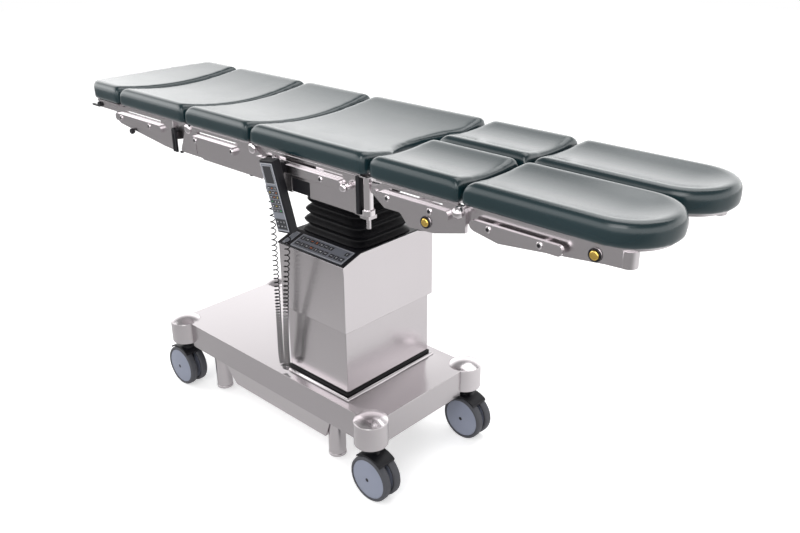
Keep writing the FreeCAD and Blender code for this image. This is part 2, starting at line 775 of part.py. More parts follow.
def cushion(name, x_low, x_high, y_low, y_high, dish, plan=None, cuts=(), far=False):
    """A foam pad: big round nose at its head end, dished across its width; far mirrors it to the far side."""
    top, under, over = value("pad_top"), value("pad_top") - value("pad_thick"), value("crest")
    nose, tail, side, edge = value("nose_round"), value("tail_round"), value("side_round"), value("under_round")
    profile = rounded_loop([
        (Vector(x_low, 0, under), edge), (Vector(x_high, 0, under), edge),
        (Vector(x_high, 0, top + over), tail), (Vector(x_low, 0, top + over), nose),
    ])
    solid = Part.Face(profile).extrude(Vector(0, y_high - y_low + 2 * over, 0))
    solid.translate(Vector(0, y_low - over, 0))
    across = Part.Face(dished_loop(x_low - 1, y_low, y_high, under - over, top, side, dish))
    solid = solid.common(across.extrude(Vector(x_high - x_low + 2, 0, 0)))
    if plan:
        solid = solid.common(plan)
    for tool in cuts:
        solid = solid.cut(tool)
    if far:
        solid = solid.mirror(Vector(0, 0, 0), Vector(0, 1, 0))
    return node(name, feature(name + "_foam", solid))


def rounded_loop(corners):
    """A closed wire through corners, each rounded by its own radius."""
    edges, ends = [], []
    count = len(corners)
    for i, (point, radius) in enumerate(corners):
        before, after = corners[i - 1][0], corners[(i + 1) % count][0]
        into, away = (before - point).normalize(), (after - point).normalize()
        reach = radius / math.tan(into.getAngle(away) / 2)
        start, end = point + into * reach, point + away * reach
        middle = point + (into + away).normalize() * (radius / math.sin(into.getAngle(away) / 2) - radius)
        ends.append((start, end))
        edges.append(Part.Arc(start, middle, end).toShape())
    for i in range(count):
        edges.insert(2 * i + 1, Part.LineSegment(ends[i][1], ends[(i + 1) % count][0]).toShape())
    return Part.Wire(edges)


def dished_loop(x, y_low, y_high, under, top, side, dish):
    """The section of a pad across its width: round upper edges and a hollow arc between them."""
    low = Vector(x, y_low, under)
    high = Vector(x, y_high, under)
    turn = side * (1 - math.sqrt(0.5))
    near_start, near_end = Vector(x, y_low, top - side), Vector(x, y_low + side, top)
    near_mid = Vector(x, y_low + turn, top - turn)
    far_start, far_end = Vector(x, y_high - side, top), Vector(x, y_high, top - side)
    far_mid = Vector(x, y_high - turn, top - turn)
    hollow = Vector(x, (y_low + y_high) / 2, top - dish)
    return Part.Wire([
        Part.LineSegment(low, near_start).toShape(),
        Part.Arc(near_start, near_mid, near_end).toShape(),
        Part.Arc(near_end, hollow, far_start).toShape(),
        Part.Arc(far_start, far_mid, far_end).toShape(),
        Part.LineSegment(far_end, high).toShape(),
        Part.LineSegment(high, low).toShape(),
    ])


def upright(points, height_low, height_high):
    """A prism over a closed outline in plan; a point may be a middle point of an arc."""
    edges = []
    for first, middle, last in points:
        a, b = Vector(*first, height_low), Vector(*last, height_low)
        if middle is None:
            edges.append(Part.LineSegment(a, b).toShape())
        else:
            edges.append(Part.Arc(a, Vector(*middle, height_low), b).toShape())
    return Part.Face(Part.Wire(edges)).extrude(Vector(0, 0, height_high - height_low))


def head_plan(inset, low, high):
    half, tip, corner = value("pad_half") - inset, value("head_tip_x") + inset, value("head_corner_x") + inset
    back = value("head_joint_x") - value("board_clear")
    return upright([
        ((corner, -half), (tip, 0), (corner, half)),
        ((corner, half), None, (back, half)),
        ((back, half), None, (back, -half)),
        ((back, -half), None, (corner, -half)),
    ], low, high)


def leg_plan(side, inset, start, low, high):
    """A leg pad's outline: straight sides and a half-round foot end."""
    sign = SIDES[side]
    outer, inner = sign * (value("pad_half") - inset), sign * (value("leg_gap_half") + inset)
    radius = abs(outer - inner) / 2
    tip = value("leg_tip_x") - inset
    return upright([
        ((start, outer), None, (tip - radius, outer)),
        ((tip - radius, outer), (tip, (outer + inner) / 2), (tip - radius, inner)),
        ((tip - radius, inner), None, (start, inner)),
        ((start, inner), None, (start, outer)),
    ], low, high)


def notch_tool(low, high):
    """The round cut-out in the foot end of the seat."""
    radius = value("notch_radius")
    centre = value("seat_end_x") - value("seam") - value("notch_depth") + radius
    return Part.makeCylinder(radius, high - low, Vector(centre, 0, low))


def corner_tool(x, way, radius, low, high):
    """What is taken off a pad's near corner at x to round it in plan; way points into the pad."""
    y = -value("pad_half")
    block = Part.makeBox(radius + 1, radius + 1, high - low,
                         Vector(x - 1 if way > 0 else x - radius, y - 1, low))
    return block.cut(Part.makeCylinder(radius + 0.6, high - low, Vector(x + way * radius, y + radius, low)))


def head_round(low, high):
    """A wide cylinder that rounds the head end of the head pad in plan."""
    half, depth = value("pad_half"), value("head_corner_x") - value("head_tip_x")
    radius = (half**2 + depth**2) / (2 * depth)
    return Part.makeCylinder(radius, high - low, Vector(value("head_tip_x") + radius, 0, low))


def leg_cushion(side):
    """A foot-end pad with a half-round end, hollowed by a long round tool that stops in a ball: a spoon."""
    over, under, top = value("crest"), value("pad_top") - value("pad_thick"), value("pad_top")
    y_low, y_high, edge, lip = -value("pad_half"), -value("leg_gap_half"), value("under_round"), value("side_round")
    start, middle, wide, tall = value("knee_x") + value("seam"), (y_low + y_high) / 2, y_high - y_low, top - under
    centre = value("leg_tip_x") - wide / 2
    section = Part.Face(rounded_loop([
        (Vector(centre, y_low, under), edge), (Vector(centre, y_high, under), edge),
        (Vector(centre, y_high, top), lip), (Vector(centre, y_low, top), lip),
    ]))
    straight = section.extrude(Vector(start - centre - 1, 0, 0))
    half = section.common(Part.makeBox(2, wide, 2 * tall, Vector(centre - 1, middle, under - tall / 2)))
    rounded = half.Faces[0].revolve(Vector(centre, middle, 0), Vector(0, 0, 1), -180)
    far_x = value("leg_tip_x") + wide
    profile = rounded_loop([
        (Vector(start, 0, under), edge), (Vector(far_x, 0, under), edge),
        (Vector(far_x, 0, top + over), lip), (Vector(start, 0, top + over), value("nose_round")),
    ])
    nose = Part.Face(profile).extrude(Vector(0, wide + 2 * over, 0))
    nose.translate(Vector(0, y_low - over, 0))
    solid = straight.fuse(rounded).common(nose).cut(spoon_tool(start, centre, middle, wide / 2 - lip + over))
    if side == "far":
        solid = solid.mirror(Vector(0, 0, 0), Vector(0, 1, 0))
    return node("leg_pad_" + side, feature(f"leg_pad_{side}_foam", solid))


def spoon_tool(start, centre, middle, reach):
    """A long bar of a big radius with a ball end, turned about its own axis high above the pad."""
    deep = value("leg_dish")
    radius = (reach**2 + deep**2) / (2 * deep)
    height = value("pad_top") - deep + radius
    corners = [Vector(start - radius, middle, height), Vector(start - radius, middle + radius, height),
               Vector(centre, middle + radius, height)]
    bend = Vector(centre + radius * math.sqrt(0.5), middle + radius * math.sqrt(0.5), height)
    end = Vector(centre + radius, middle, height)
    outline = Part.Wire([
        Part.LineSegment(corners[0], corners[1]).toShape(),
        Part.LineSegment(corners[1], corners[2]).toShape(),
        Part.Arc(corners[2], bend, end).toShape(),
        Part.LineSegment(end, corners[0]).toShape(),
    ])
    return Part.Face(outline).revolve(corners[0], Vector(1, 0, 0), 360)


def cushions():
    seam, half = value("seam"), value("pad_half")
    low, high = value("pad_top") - value("pad_thick") - 5, value("pad_top") + 5
    joints = [value(f"{name}_x") for name in ("head_joint", "upper_joint", "lower_joint", "seat_end")]
    cushion("head_pad", value("head_tip_x"), joints[0] - seam, -half, half, value("dish") * 0.75,
            plan=head_round(low, high))
    cushion("upper_back_pad", joints[0] + seam, joints[1] - seam, -half, half, value("dish"))
    cushion("lower_back_pad", joints[1] + seam, joints[2] - seam, -half, half, value("dish"))
    corner = corner_tool(joints[3] - seam, -1, value("seat_corner"), low, high)
    corners = [corner, corner.mirror(Vector(0, 0, 0), Vector(0, 1, 0))]
    cushion("seat_pad", joints[2] + seam, joints[3] - seam, -half, half, value("dish"),
            cuts=[notch_tool(low, high)] + corners)
    inner = value("leg_gap_half")
    for side in SIDES:
        far = side == "far"
        cushion(f"thigh_pad_{side}", joints[3] + seam + 2, value("knee_x") - seam, -half, -inner,
                value("leg_dish"),
                cuts=[corner_tool(joints[3] + seam + 2, 1, value("thigh_corner"), low, high)], far=far)
        leg_cushion(side)


# Table-top frames


def side_pair(name, outline, rounds=(), holes=(), slots=()):
    """The same side plate on the near and the far side."""
    made = []
    for side, sign in SIDES.items():
        offset = "-plate_face + plate_thick" if sign < 0 else "plate_face"
        made.append(plate(f"{name}_{side}", "XZ", outline, "plate_thick", offset, rounds, holes, slots))
    return made


def lug_pair(name, outline, rounds=(), holes=()):
    """Hinge lugs just inside the side plates."""
    made = []
    for side, sign in SIDES.items():
        offset = "-lug_back" if sign < 0 else "lug_face"
        made.append(plate(f"{name}_{side}", "XZ", outline, "lug_inner", offset, rounds, holes))
    return made


def side_rails(name, start, end, clear="0"):
    """Accessory rails: flat bars with round ends, screwed to the side plates."""
    return [one_rail(side, name, start, end, "rail_centre", clear) for side in SIDES]


def board(name, x_low, x_high):
    return box(name, (x_low, x_high), ("-board_half", "board_half"), ("plate_high", "pad_under"))


def cross_tube(name, x, height, reach):
    return rod(name, "tube_radius", f"2 * ({reach})", (x, f"-({reach})", height), "Y")


def seat_side_plates():
    start, end, high = "lower_joint_x + 88", "seat_end_x - 43", "plate_high"
    outline = [(start, high), (start, "plate_bottom + 6"), (f"{start} + 8", "plate_bottom"),
               ("bay_x", "plate_bottom"), ("bay_x", "plate_bottom + bay_height"),
               ("bay_x + bay_length", "plate_bottom + bay_height"), ("bay_x + bay_length", "plate_bottom"),
               (end, "plate_bottom"), (end, high)]
    slot = (f"{start} + 10", "seat_end_x - 95", "slot_height", "slot_half")
    pin = ("seat_end_x - 74", "rail_centre", "hinge_pin + play")
    made = side_pair("seat_plate", outline, rounds=[((7,), "4")], holes=[pin], slots=[slot])
    made += side_rails("seat_rail", "lower_joint_x + 24", "seat_end_x - 92", clear="gap")
    return group("seat_side_plates", made)


def seat_end_profiles():
    """Dark closing strips on the foot end of the seat plates, and the dark boxes in their bays."""
    made = []
    for side in SIDES:
        made.append(box("strip_" + side, ("seat_end_x - 43", "seat_end_x - 43 + strip - gap"),
                        flip(side, "plate_inside - 4", "plate_face + 4"),
                        ("plate_bottom + 2", "plate_high - gap")))
        made.append(box("bay_box_" + side, ("bay_x + gap", "bay_x + bay_length - gap"),
                        flip(side, "plate_inside - 30", "plate_face - 3"),
                        ("plate_bottom + 3", "plate_bottom + bay_height - gap")))
    return group("seat_end_profiles", made)


def seat_frame():
    """Boards, cross-beams, the plate on the bellows and the lugs on the tilting head."""
    low, high = "plate_bottom + 3", "plate_high"
    notch = "seat_end_x - seam - notch_depth - 10"
    made = [box("seat_board", ("lower_joint_x + board_clear", notch), ("-board_half", "board_half"),
                (high, "pad_under"))]
    for side in SIDES:
        made.append(box("seat_tongue_" + side, (notch, "seat_end_x - 43 + strip"),
                        flip(side, "notch_half + 10", "board_half"), (high, "pad_under")))
    for tag, x in (("head", "-66"), ("foot", "90")):
        made.append(box("seat_beam_" + tag, (x, f"{x} + 30"), ("-plate_inside", "plate_inside"), (low, high)))
    base = box("seat_base", ("-bellows_top_x + 4", "bellows_top_x - 4"),
               ("-bellows_top_y + 4", "bellows_top_y - 4"),
               ("bellows_top + gap", low))
    lugs = [base]
    reach, far = "cross_half + 1", "cross_half + 1 + lug_thick"
    for tag, x in (("head", (f"-({far})", f"-({reach})")), ("foot", (reach, far))):
        lugs.append(box("seat_lug_" + tag, x, ("-lug_half + 6", "lug_half - 6"),
                        ("tilt_height", "bellows_top + 2")))
        lugs.append(rod("seat_eye_" + tag, "lug_half - 6", "lug_thick", (x[0], "0", "tilt_height"), "X"))
    saddle = fuse("seat_saddle_whole", lugs)
    shaft = rod("seat_saddle_bore", "trunnion_radius + play", f"4 * ({far})",
                (f"-2 * ({far})", "0", "tilt_height"), "X")
    made.append(cut("seat_saddle", saddle, [shaft]))
    made += lug_pair("seat_lug_back", ear("lower_joint_x", -1, "lower_joint_x + 104"),
                     rounds=[((0,), "small_pin")],
                     holes=[("lower_joint_x", "hinge_height", "hinge_pin + play")])
    made += leg_brackets()
    return group("seat_frame", made)


def ear(joint, way, root):
    """A hinge lug from its root to the far side of a joint, its free end cut to turn under the next board."""
    def out(distance):
        return f"{joint} {'+' if way > 0 else '-'} {distance}"

    return [(out(18), "hinge_height - 26"), (root, "hinge_height - 62"), (root, "plate_high - 1 - gap"),
            (out(4), "plate_high - 1 - gap"), (out(12), "hinge_height + 2.5"), (out(18), "hinge_height - 6")]


def leg_brackets():
    """Ears on the seat's foot end that hold the upright leg pins."""
    made = []
    face, inner, foot = "seat_end_x - 43 + strip", "swivel_y - 16", "swivel_bottom - gap - ear_low"
    for side, sign in SIDES.items():
        at = ("swivel_x", f"{sign} * swivel_y")
        for tag, low in (("low", foot), ("high", "swivel_top + gap")):
            flat = box(f"ear_{tag}_{side}", (face, "swivel_x + 14"), flip(side, inner, "swivel_y + 14"),
                       (low, f"{low} + ear_{tag}"))
            hole = rod(f"ear_{tag}_bore_{side}", "swivel_pin", "swivel_length",
                       (*at, f"{low} - swivel_length / 2"))
            made.append(cut(f"ear_{tag}_cut_{side}", flat, [hole]))
        made.append(box(f"ear_back_{side}", ("seat_end_x - 62", "seat_end_x - 43"),
                        flip(side, inner, "lug_face"),
                        (foot, "plate_high")))
        made.append(box(f"ear_web_{side}", ("seat_end_x - 43", face),
                        flip(side, inner, "plate_inside - 4 - gap"),
                        (foot, "plate_high")))
        made.append(rod("pivot_shaft_" + side, "swivel_pin", "swivel_length + 39 + gap + ear_high",
                        (*at, "swivel_bottom - 39")))
    return made


def locking_pin(side):
    """A pull pin with a round knob in the seat's side plate."""
    sign = SIDES[side]
    x, z = value("seat_end_x") - 74, value("rail_centre")
    face = value("plate_face")
    profile = [(0, -14), (value("hinge_pin"), -14), (value("hinge_pin"), 2), (5, 2), (5, 8), (9, 10),
               (12, 14), (12, 20),
               (9, 24), (0, 25)]
    shape = turned([(r, sign * (face + a)) for r, a in profile], Vector(x, 0, z), "Y")
    return node("locking_pin_" + side, feature("lock_" + side, shape))


def lower_back_frame():
    """Side plates from hinge to hinge, their corners cut so that both neighbours can drop thirty degrees."""
    head, foot, low = "upper_joint_x", "lower_joint_x", "back_plate_bottom"
    outline = [(f"{head} - 4", "plate_high"), (f"{head} - 13", "hinge_height + 4"),
               (f"{head} - 50", f"{low} + 10"),
               (f"{head} - 44", f"{low} + 4"), (f"{head} + 62", f"{low} + 4"), (f"{head} + 72", low),
               (f"{foot} + 35", low), (f"{foot} + 47", f"{low} + 12"), (f"{foot} + 47", "hinge_height - 16"),
               (f"{foot} + 20", "hinge_height"), (f"{foot} + 6", "plate_high")]
    holes = [(head, "hinge_height", "hinge_pin"), (foot, "hinge_height", "hinge_pin")]
    slots = [(f"{head} + 48", f"{head} + 255", "slot_height", "slot_half"),
             (f"{head} + 35", f"{head} + 41", f"{low} + 28", "14")]
    made = side_pair("lower_plate", outline, holes=holes, slots=slots)
    made += side_rails("lower_rail", f"{head} + 26", f"{foot} - 78")
    made.append(board("lower_board", f"{head} + board_clear", f"{foot} - board_clear"))
    made.append(cross_tube("lower_tube", f"({head} + {foot}) / 2", f"{low} + 40", "plate_inside"))
    return group("lower_back_frame", made)


def upper_back_frame():
    """Side plates that taper to the head end, with lugs at the foot end and stub pins at the head end."""
    head, end = "head_joint_x", "upper_joint_x - 84"
    outline = [(f"{head} - 2", "plate_high"), (f"{head} - 46", "hinge_height - 12"),
               (f"{head} - 46", "rail_centre - 14"),
               (f"{head} - 26", "rail_centre - 25"), (f"{end} - 60", "back_plate_bottom + 3"),
               (f"{end} - 10", "back_plate_bottom"), (end, "back_plate_bottom + 10"), (end, "plate_high")]
    slots = [(f"{head} + 14", f"{head} + 230", "slot_height", "slot_half")]
    made = side_pair("upper_plate", outline, rounds=[((2, 3), "small_pin")], slots=slots)
    made += side_rails("upper_rail", f"{head} - 39", "upper_joint_x - 142")
    made.append(board("upper_board", f"{head} + board_clear", "upper_joint_x - board_clear"))
    holes = [("upper_joint_x", "hinge_height", "hinge_pin + play"),
             ("upper_joint_x - lever_back", "hinge_height - lever_drop", "lever_shaft + play")]
    made += lug_pair("upper_lug", ear("upper_joint_x", 1, "upper_joint_x - 130"),
                     rounds=[((0,), "small_pin")],
                     holes=holes)
    made.append(cross_tube("upper_tube", f"({head} + upper_joint_x) / 2 + 20", "rail_centre - 14",
                           "plate_inside"))
    for side in SIDES:
        made.append(rod("head_pin_" + side, "small_pin", "plate_inside - lug_back + 2",
                        (head, flip(side, "lug_back - 2", "plate_inside")[0], "hinge_height"), "Y"))
    return group("upper_back_frame", made)


def back_hinge_pins():
    """Four domed hinge pins through the lower back plates."""
    made = []
    face = value("plate_face")
    inside = value("lug_back") - face
    pin, cap, thick = value("hinge_pin"), value("hinge_cap"), value("cap_thick")
    profile = [(0, inside), (pin, inside), (pin, 0), (cap, 0), (cap, thick * 0.4),
               (cap * 0.8, thick * 0.8), (cap * 0.4, thick), (0, thick)]
    for joint in ("upper_joint_x", "lower_joint_x"):
        for side, sign in SIDES.items():
            shape = turned([(r, sign * (face + a)) for r, a in profile],
                           Vector(value(joint), 0, value("hinge_height")), "Y")
            made.append(feature(f"pin_{joint}_{side}", shape))
    return group("back_hinge_pins", made)


def back_release_levers():
    """Two forked levers on one cross shaft between the back sections."""
    x, z = value("upper_joint_x") - value("lever_back"), value("hinge_height") - value("lever_drop")
    face = value("plate_face")
    solids = []
    for sign in SIDES.values():
        for shift in (-6, 6):
            blade = Part.makeBox(8, 8, 68,
                                 Vector(x + shift - 4, sign * face - (0 if sign > 0 else 8), z - 68))
            solids.append(blade)
        solids.append(Part.makeCylinder(10, 8, Vector(x, sign * face if sign > 0 else -face - 8, z),
                                        Vector(0, 1, 0)))
    shaft = Part.makeCylinder(value("lever_shaft"), 2 * face, Vector(x, -face, z), Vector(0, 1, 0))
    whole = shaft.fuse(solids).removeSplitter()
    return node("back_release_levers", feature("release_levers", whole))


def head_frame():
    """The board under the head pad with two arms that turn on the upper back's stub pins, and a cross-bar."""
    made = [feature("head_board", head_plan(6, value("plate_high"), value("pad_under")))]
    for side in SIDES:
        y = flip(side, "lug_back", "lug_face")
        arm = box("head_arm_" + side, ("head_corner_x - 27", "head_joint_x"), y,
                  ("hinge_height - arm_height", "plate_high"))
        eye = rod("head_eye_" + side, "hinge_below - gap", "lug_inner",
                  ("head_joint_x", y[0], "hinge_height"), "Y")
        tools = [
            rod("head_lever_bore_" + side, "lever_shaft + play", "2 * lug_inner",
                ("head_corner_x - 14", f"{y[0]} - 2", "hinge_height - 8"), "Y"),
            rod("head_eye_bore_" + side, "small_pin + play", "2 * lug_inner",
                ("head_joint_x", f"{y[0]} - 2", "hinge_height"), "Y"),
        ]
        made.append(cut("head_arm_bored_" + side, fuse("head_arm_eye_" + side, [arm, eye]), tools))
    made.append(rod("head_bar", "9", "2 * lug_back", ("head_corner_x + 6", "-lug_back", "hinge_height - 2"),
                    "Y"))
    return group("head_frame", made)


def head_release_lever():
    """A bail with a finger lever at each side, under the head end of the head pad."""
    x, z = value("head_corner_x") - 14, value("hinge_height") - 8
    reach, wide = value("plate_face") - 2, value("plate_face") - 2 - value("lug_face") - value("gap")
    bar = Part.makeCylinder(value("lever_shaft"), 2 * reach, Vector(x, -reach, z), Vector(0, 1, 0))
    tabs = []
    for sign in SIDES.values():
        y = reach - wide if sign > 0 else -reach
        tabs.append(Part.makeBox(46, wide, 6, Vector(x - 46, y, z - 9)))
        tabs.append(Part.makeCylinder(9, wide, Vector(x, y, z), Vector(0, 1, 0)))
    return node("head_release_lever", feature("head_lever", bar.fuse(tabs).removeSplitter()))


# Legs


def one_plate(side, name, outline, rounds=(), holes=(), slots=()):
    offset = "-plate_face + plate_thick" if SIDES[side] < 0 else "plate_face"
    return plate(f"{name}_{side}", "XZ", outline, "plate_thick", offset, rounds, holes, slots)


def one_rail(side, name, start, end, height="rail_centre + 4", clear="0"):
    half = "rail_height / 2"
    outline = [(start, f"{height} - {half}"), (end, f"{height} - {half}"), (end, f"{height} + {half}"),
               (start, f"{height} + {half}")]
    offset = f"-plate_face - {clear}" if SIDES[side] < 0 else f"plate_face + {clear} + rail_thick"
    return plate(f"{name}_{side}", "XZ", outline, "rail_thick", offset,
                 rounds=[((0, 1, 2, 3), "rail_height * 0.45")])


def leg_swivel(side):
    """An upright sleeve on the leg pin with a knuckle for the thigh hinge and a collar below."""
    at = ("swivel_x", f"{SIDES[side]} * swivel_y")
    sleeve = rod("sleeve_" + side, "swivel_radius", "swivel_length", (*at, "swivel_bottom"))
    collar = rod("sleeve_collar_" + side, "swivel_radius + 4", "14", (*at, "swivel_bottom"))
    y = flip(side, "lug_face - 12", "lug_face")
    knuckle = box("knuckle_" + side, ("swivel_x", "thigh_hinge_x"), y,
                  ("thigh_hinge_z - 14", "thigh_hinge_z + 14"))
    eye = rod("knuckle_eye_" + side, "14", "12", ("thigh_hinge_x", y[0], "thigh_hinge_z"), "Y")
    whole = fuse("swivel_whole_" + side, [sleeve, collar, knuckle, eye])
    hole = rod("swivel_bore_" + side, "swivel_pin + play", "2 * swivel_length",
               (*at, "swivel_bottom - swivel_length / 2"))
    pin = rod("knuckle_bore_" + side, "small_pin + play", "24",
              ("thigh_hinge_x", f"{y[0]} - 6", "thigh_hinge_z"), "Y")
    return node("leg_swivel_" + side, cut("swivel_" + side, whole, [hole, pin]))


def thigh_frame(side):
    """The outer plate from the leg hinge to the knee, with the knee pin and its round knob."""
    start, end = "thigh_hinge_x - 15", "knee_x + 10"
    outline = [(start, "thigh_hinge_z + 10"), (start, "thigh_hinge_z - 8"),
               (f"{start} + 44", "thigh_hinge_z - 38"),
               ("thigh_button_x - 87", "thigh_button_z + 3"), ("thigh_button_x - 59", "thigh_button_z - 28"),
               ("thigh_button_x + 25", "thigh_button_z - 23"), (end, "thigh_button_z + 2"),
               (end, "hinge_height - 3"),
               ("knee_x + 8", "hinge_height + 6"), ("knee_x + 2", "hinge_height + 10"),
               ("knee_x - 2", "plate_high"),
               (f"{start} + 40", "plate_high")]
    holes = [("thigh_button_x", "thigh_button_z", "button_ring"),
             ("thigh_hinge_x", "thigh_hinge_z", "small_pin"),
             ("knee_x", "hinge_height", "small_pin")]
    slot = ("thigh_hinge_x + 46", "knee_x - 60", "slot_height + 2", "slot_half")
    made = [one_plate(side, "thigh_plate", outline, rounds=[((0, 1), "8"), ((3, 4), "14")], holes=holes,
                      slots=[slot])]
    made.append(one_rail(side, "thigh_rail", "thigh_hinge_x + 12", "knee_x - 34"))
    made.append(box("thigh_board_" + side, ("seat_end_x + seam + 22", "knee_x - board_clear"),
                    flip(side, "leg_gap_half + 5", "board_half"), ("plate_high", "pad_under")))
    made.append(box("thigh_bar_" + side, ("seat_end_x + seam + 40", "knee_x - 12"),
                    flip(side, "leg_gap_half + 12", "leg_gap_half + 22"),
                    ("hinge_height - 18", "plate_high")))
    made.append(rod("thigh_tube_" + side, "tube_radius", "plate_inside - leg_gap_half - 22",
                    ("thigh_button_x - 40", flip(side, "leg_gap_half + 22", "plate_inside")[0],
                     "rail_centre"), "Y"))
    made.append(rod("thigh_pin_" + side, "small_pin", "plate_face + 4 - lug_face + 12",
                    ("thigh_hinge_x", flip(side, "lug_face - 12", "plate_face + 4")[0], "thigh_hinge_z"),
                    "Y"))
    made.append(ring_of("thigh_ring_" + side, side, "thigh_button_x", "thigh_button_z", "plate_face"))
    made.append(knee_knob(side))
    return group("thigh_frame_" + side, made)


def knee_knob(side):
    """The knee pin, through both plates, with a ball for a head."""
    at = Vector(value("knee_x"), 0, value("hinge_height"))
    way = TURNS["Y"] * SIDES[side]
    face, inner, ball = value("plate_face"), value("lug_face") - value("plate_thick"), value("knob_radius")
    pin = Part.makeCylinder(value("small_pin"), face + 4 - inner, at + way * inner, way)
    neck = Part.makeCylinder(ball * 0.6, ball * 0.6, at + way * face, way)
    head = Part.makeSphere(ball, at + way * (face + ball * 0.95))
    room = Part.makeBox(4 * ball, ball, 4 * ball,
                        Vector(at.x - 2 * ball, -ball if SIDES[side] > 0 else 0, at.z - 2 * ball))
    room.translate(way * face)
    return feature("knee_knob_" + side, neck.fuse([head.cut(room), pin]).removeSplitter())


def ring_of(name, side, x, z, face):
    """The bezel round a release button."""
    y = flip(side, f"{face} - plate_thick", f"{face} + 3")[0]
    outer = rod(name + "_outer", "button_ring", "plate_thick + 3", (x, y, z), "Y")
    inner = rod(name + "_inner", "button_radius + gap", "2 * plate_thick + 6",
                (x, f"{y} - plate_thick / 2", z), "Y")
    return cut(name, outer, [inner])


def release_button(side, label, x, z, plane):
    sign = SIDES[side]
    face, radius = value(plane), value("button_radius")
    profile = [(0, -6), (radius, -6), (radius, 6), (radius - 2, 8), (0, 8)]
    shape = turned([(r, sign * (face + a)) for r, a in profile], Vector(value(x), 0, value(z)), "Y")
    return node(f"{label}_{side}", feature(f"{label}_{side}_turned", shape))


def leg_frame(side):
    """The inner plate on the knee pin, ending in an upright round, with its rail on two bosses."""
    start, foot = "knee_x - 11", "leg_tip_x - 69"
    outline = [(start, "plate_high"), (start, "hinge_height - 11"), ("knee_x + 24", "hinge_height - 46"),
               ("knee_x + 97", "hinge_height - 59"), ("leg_button_x + 25", "leg_button_z - 15"),
               (f"{foot} - 4", "leg_button_z - 13"), (f"{foot} - 4", "plate_high")]
    holes = [("leg_button_x", "leg_button_z", "button_ring"), ("knee_x", "hinge_height", "small_pin + play")]
    offset = "-lug_face + plate_thick" if SIDES[side] < 0 else "lug_face"
    flat = plate("leg_plate_" + side, "XZ", outline, "plate_thick", offset, rounds=[((0, 1), "10")],
                 holes=holes)
    turn = rod("leg_end_" + side, "leg_end_radius", "plate_high - leg_button_z + 13",
               (foot, f"{SIDES[side]} * (lug_face - leg_end_radius)", "leg_button_z - 13"))
    made = [fuse("leg_plate_whole_" + side, [flat, turn])]
    made.append(one_rail(side, "leg_rail", "knee_x + 29", "leg_button_x - 67", clear="gap"))
    for number, x in enumerate(("knee_x + 83", "leg_button_x - 124")):
        made.append(rod(f"leg_boss_{side}_{number}", "8", "plate_face - lug_face + gap",
                        (x, flip(side, "lug_face", "plate_face + gap")[0], "rail_centre + 4"), "Y"))
    made.append(feature("leg_board_" + side,
                        leg_plan(side, value("pad_half") - value("board_half"),
                                 value("knee_x") + value("seam"), value("plate_high"), value("pad_under"))))
    made.append(box("leg_bar_" + side, ("knee_x + 26", "leg_tip_x - 60"),
                    flip(side, "leg_gap_half + 12", "leg_gap_half + 22"),
                    ("hinge_height - 12", "plate_high")))
    made.append(rod("leg_tube_" + side, "tube_radius - 4", "lug_face - plate_thick - leg_gap_half - 22",
                    ("leg_button_x - 25", flip(side, "leg_gap_half + 22", "lug_face - plate_thick")[0],
                     "hinge_height - 2"), "Y"))
    made.append(ring_of("leg_ring_" + side, side, "leg_button_x", "leg_button_z", "lug_face"))
    return group("leg_frame_" + side, made)


# Hand control and its cord


def handset():
    """A hand control hung on the side rail by a hook, with a membrane on its face."""
    wide, long, thick = value("handset_width"), value("handset_length"), value("handset_thick")
    lean = Rotation(Vector(0, 1, 0),
                    -value("handset_swing")).multiply(Rotation(Vector(1, 0, 0), value("handset_lean")))
    middle = Placement(Vector(value("handset_x"), -value("handset_y"), value("handset_z")), lean)
    shell = Part.makeBox(wide, thick, long, Vector(-wide / 2, -thick / 2, -long / 2))
    upright_edges = [e for e in shell.Edges if abs(e.tangentAt(e.FirstParameter).z) > 0.9]
    shell = shell.makeFillet(5, upright_edges)
    gap, rail = value("gap"), value("rail_centre") + value("rail_height") / 2
    face = value("plate_face") + gap + value("rail_thick") + gap
    front = Part.makeBox(26, value("handset_y") - face, 34,
                         Vector(value("handset_x") - 20, -value("handset_y"), rail - 28))
    lip = Part.makeBox(26, value("handset_y") - face + value("rail_thick"), 4,
                       Vector(value("handset_x") - 20, -value("handset_y"), rail + gap))
    hook = front.fuse(lip).removeSplitter().transformed(middle.inverse().Matrix)
    node("handset_body", feature("handset_shell", shell.fuse(hook), middle))
    panel = Part.makeBox(wide - 10, 1.2, long - 12, Vector(-wide / 2 + 5, -thick / 2 - 1.5, -long / 2 + 6))
    node("handset_overlay", feature("handset_face", panel, middle))


ROUTE = [
    (-103, -238, 884), (-106, -237, 700), (-117, -231, 520), (-131, -222, 380), (-142, -214, 300),
    (-138, -210, 279), (-118, -210, 279), (-111, -214, 300), (-101, -222, 400), (-70, -238, 530),
    (-32, -256, 672),
    (-12, -257, 790),
]


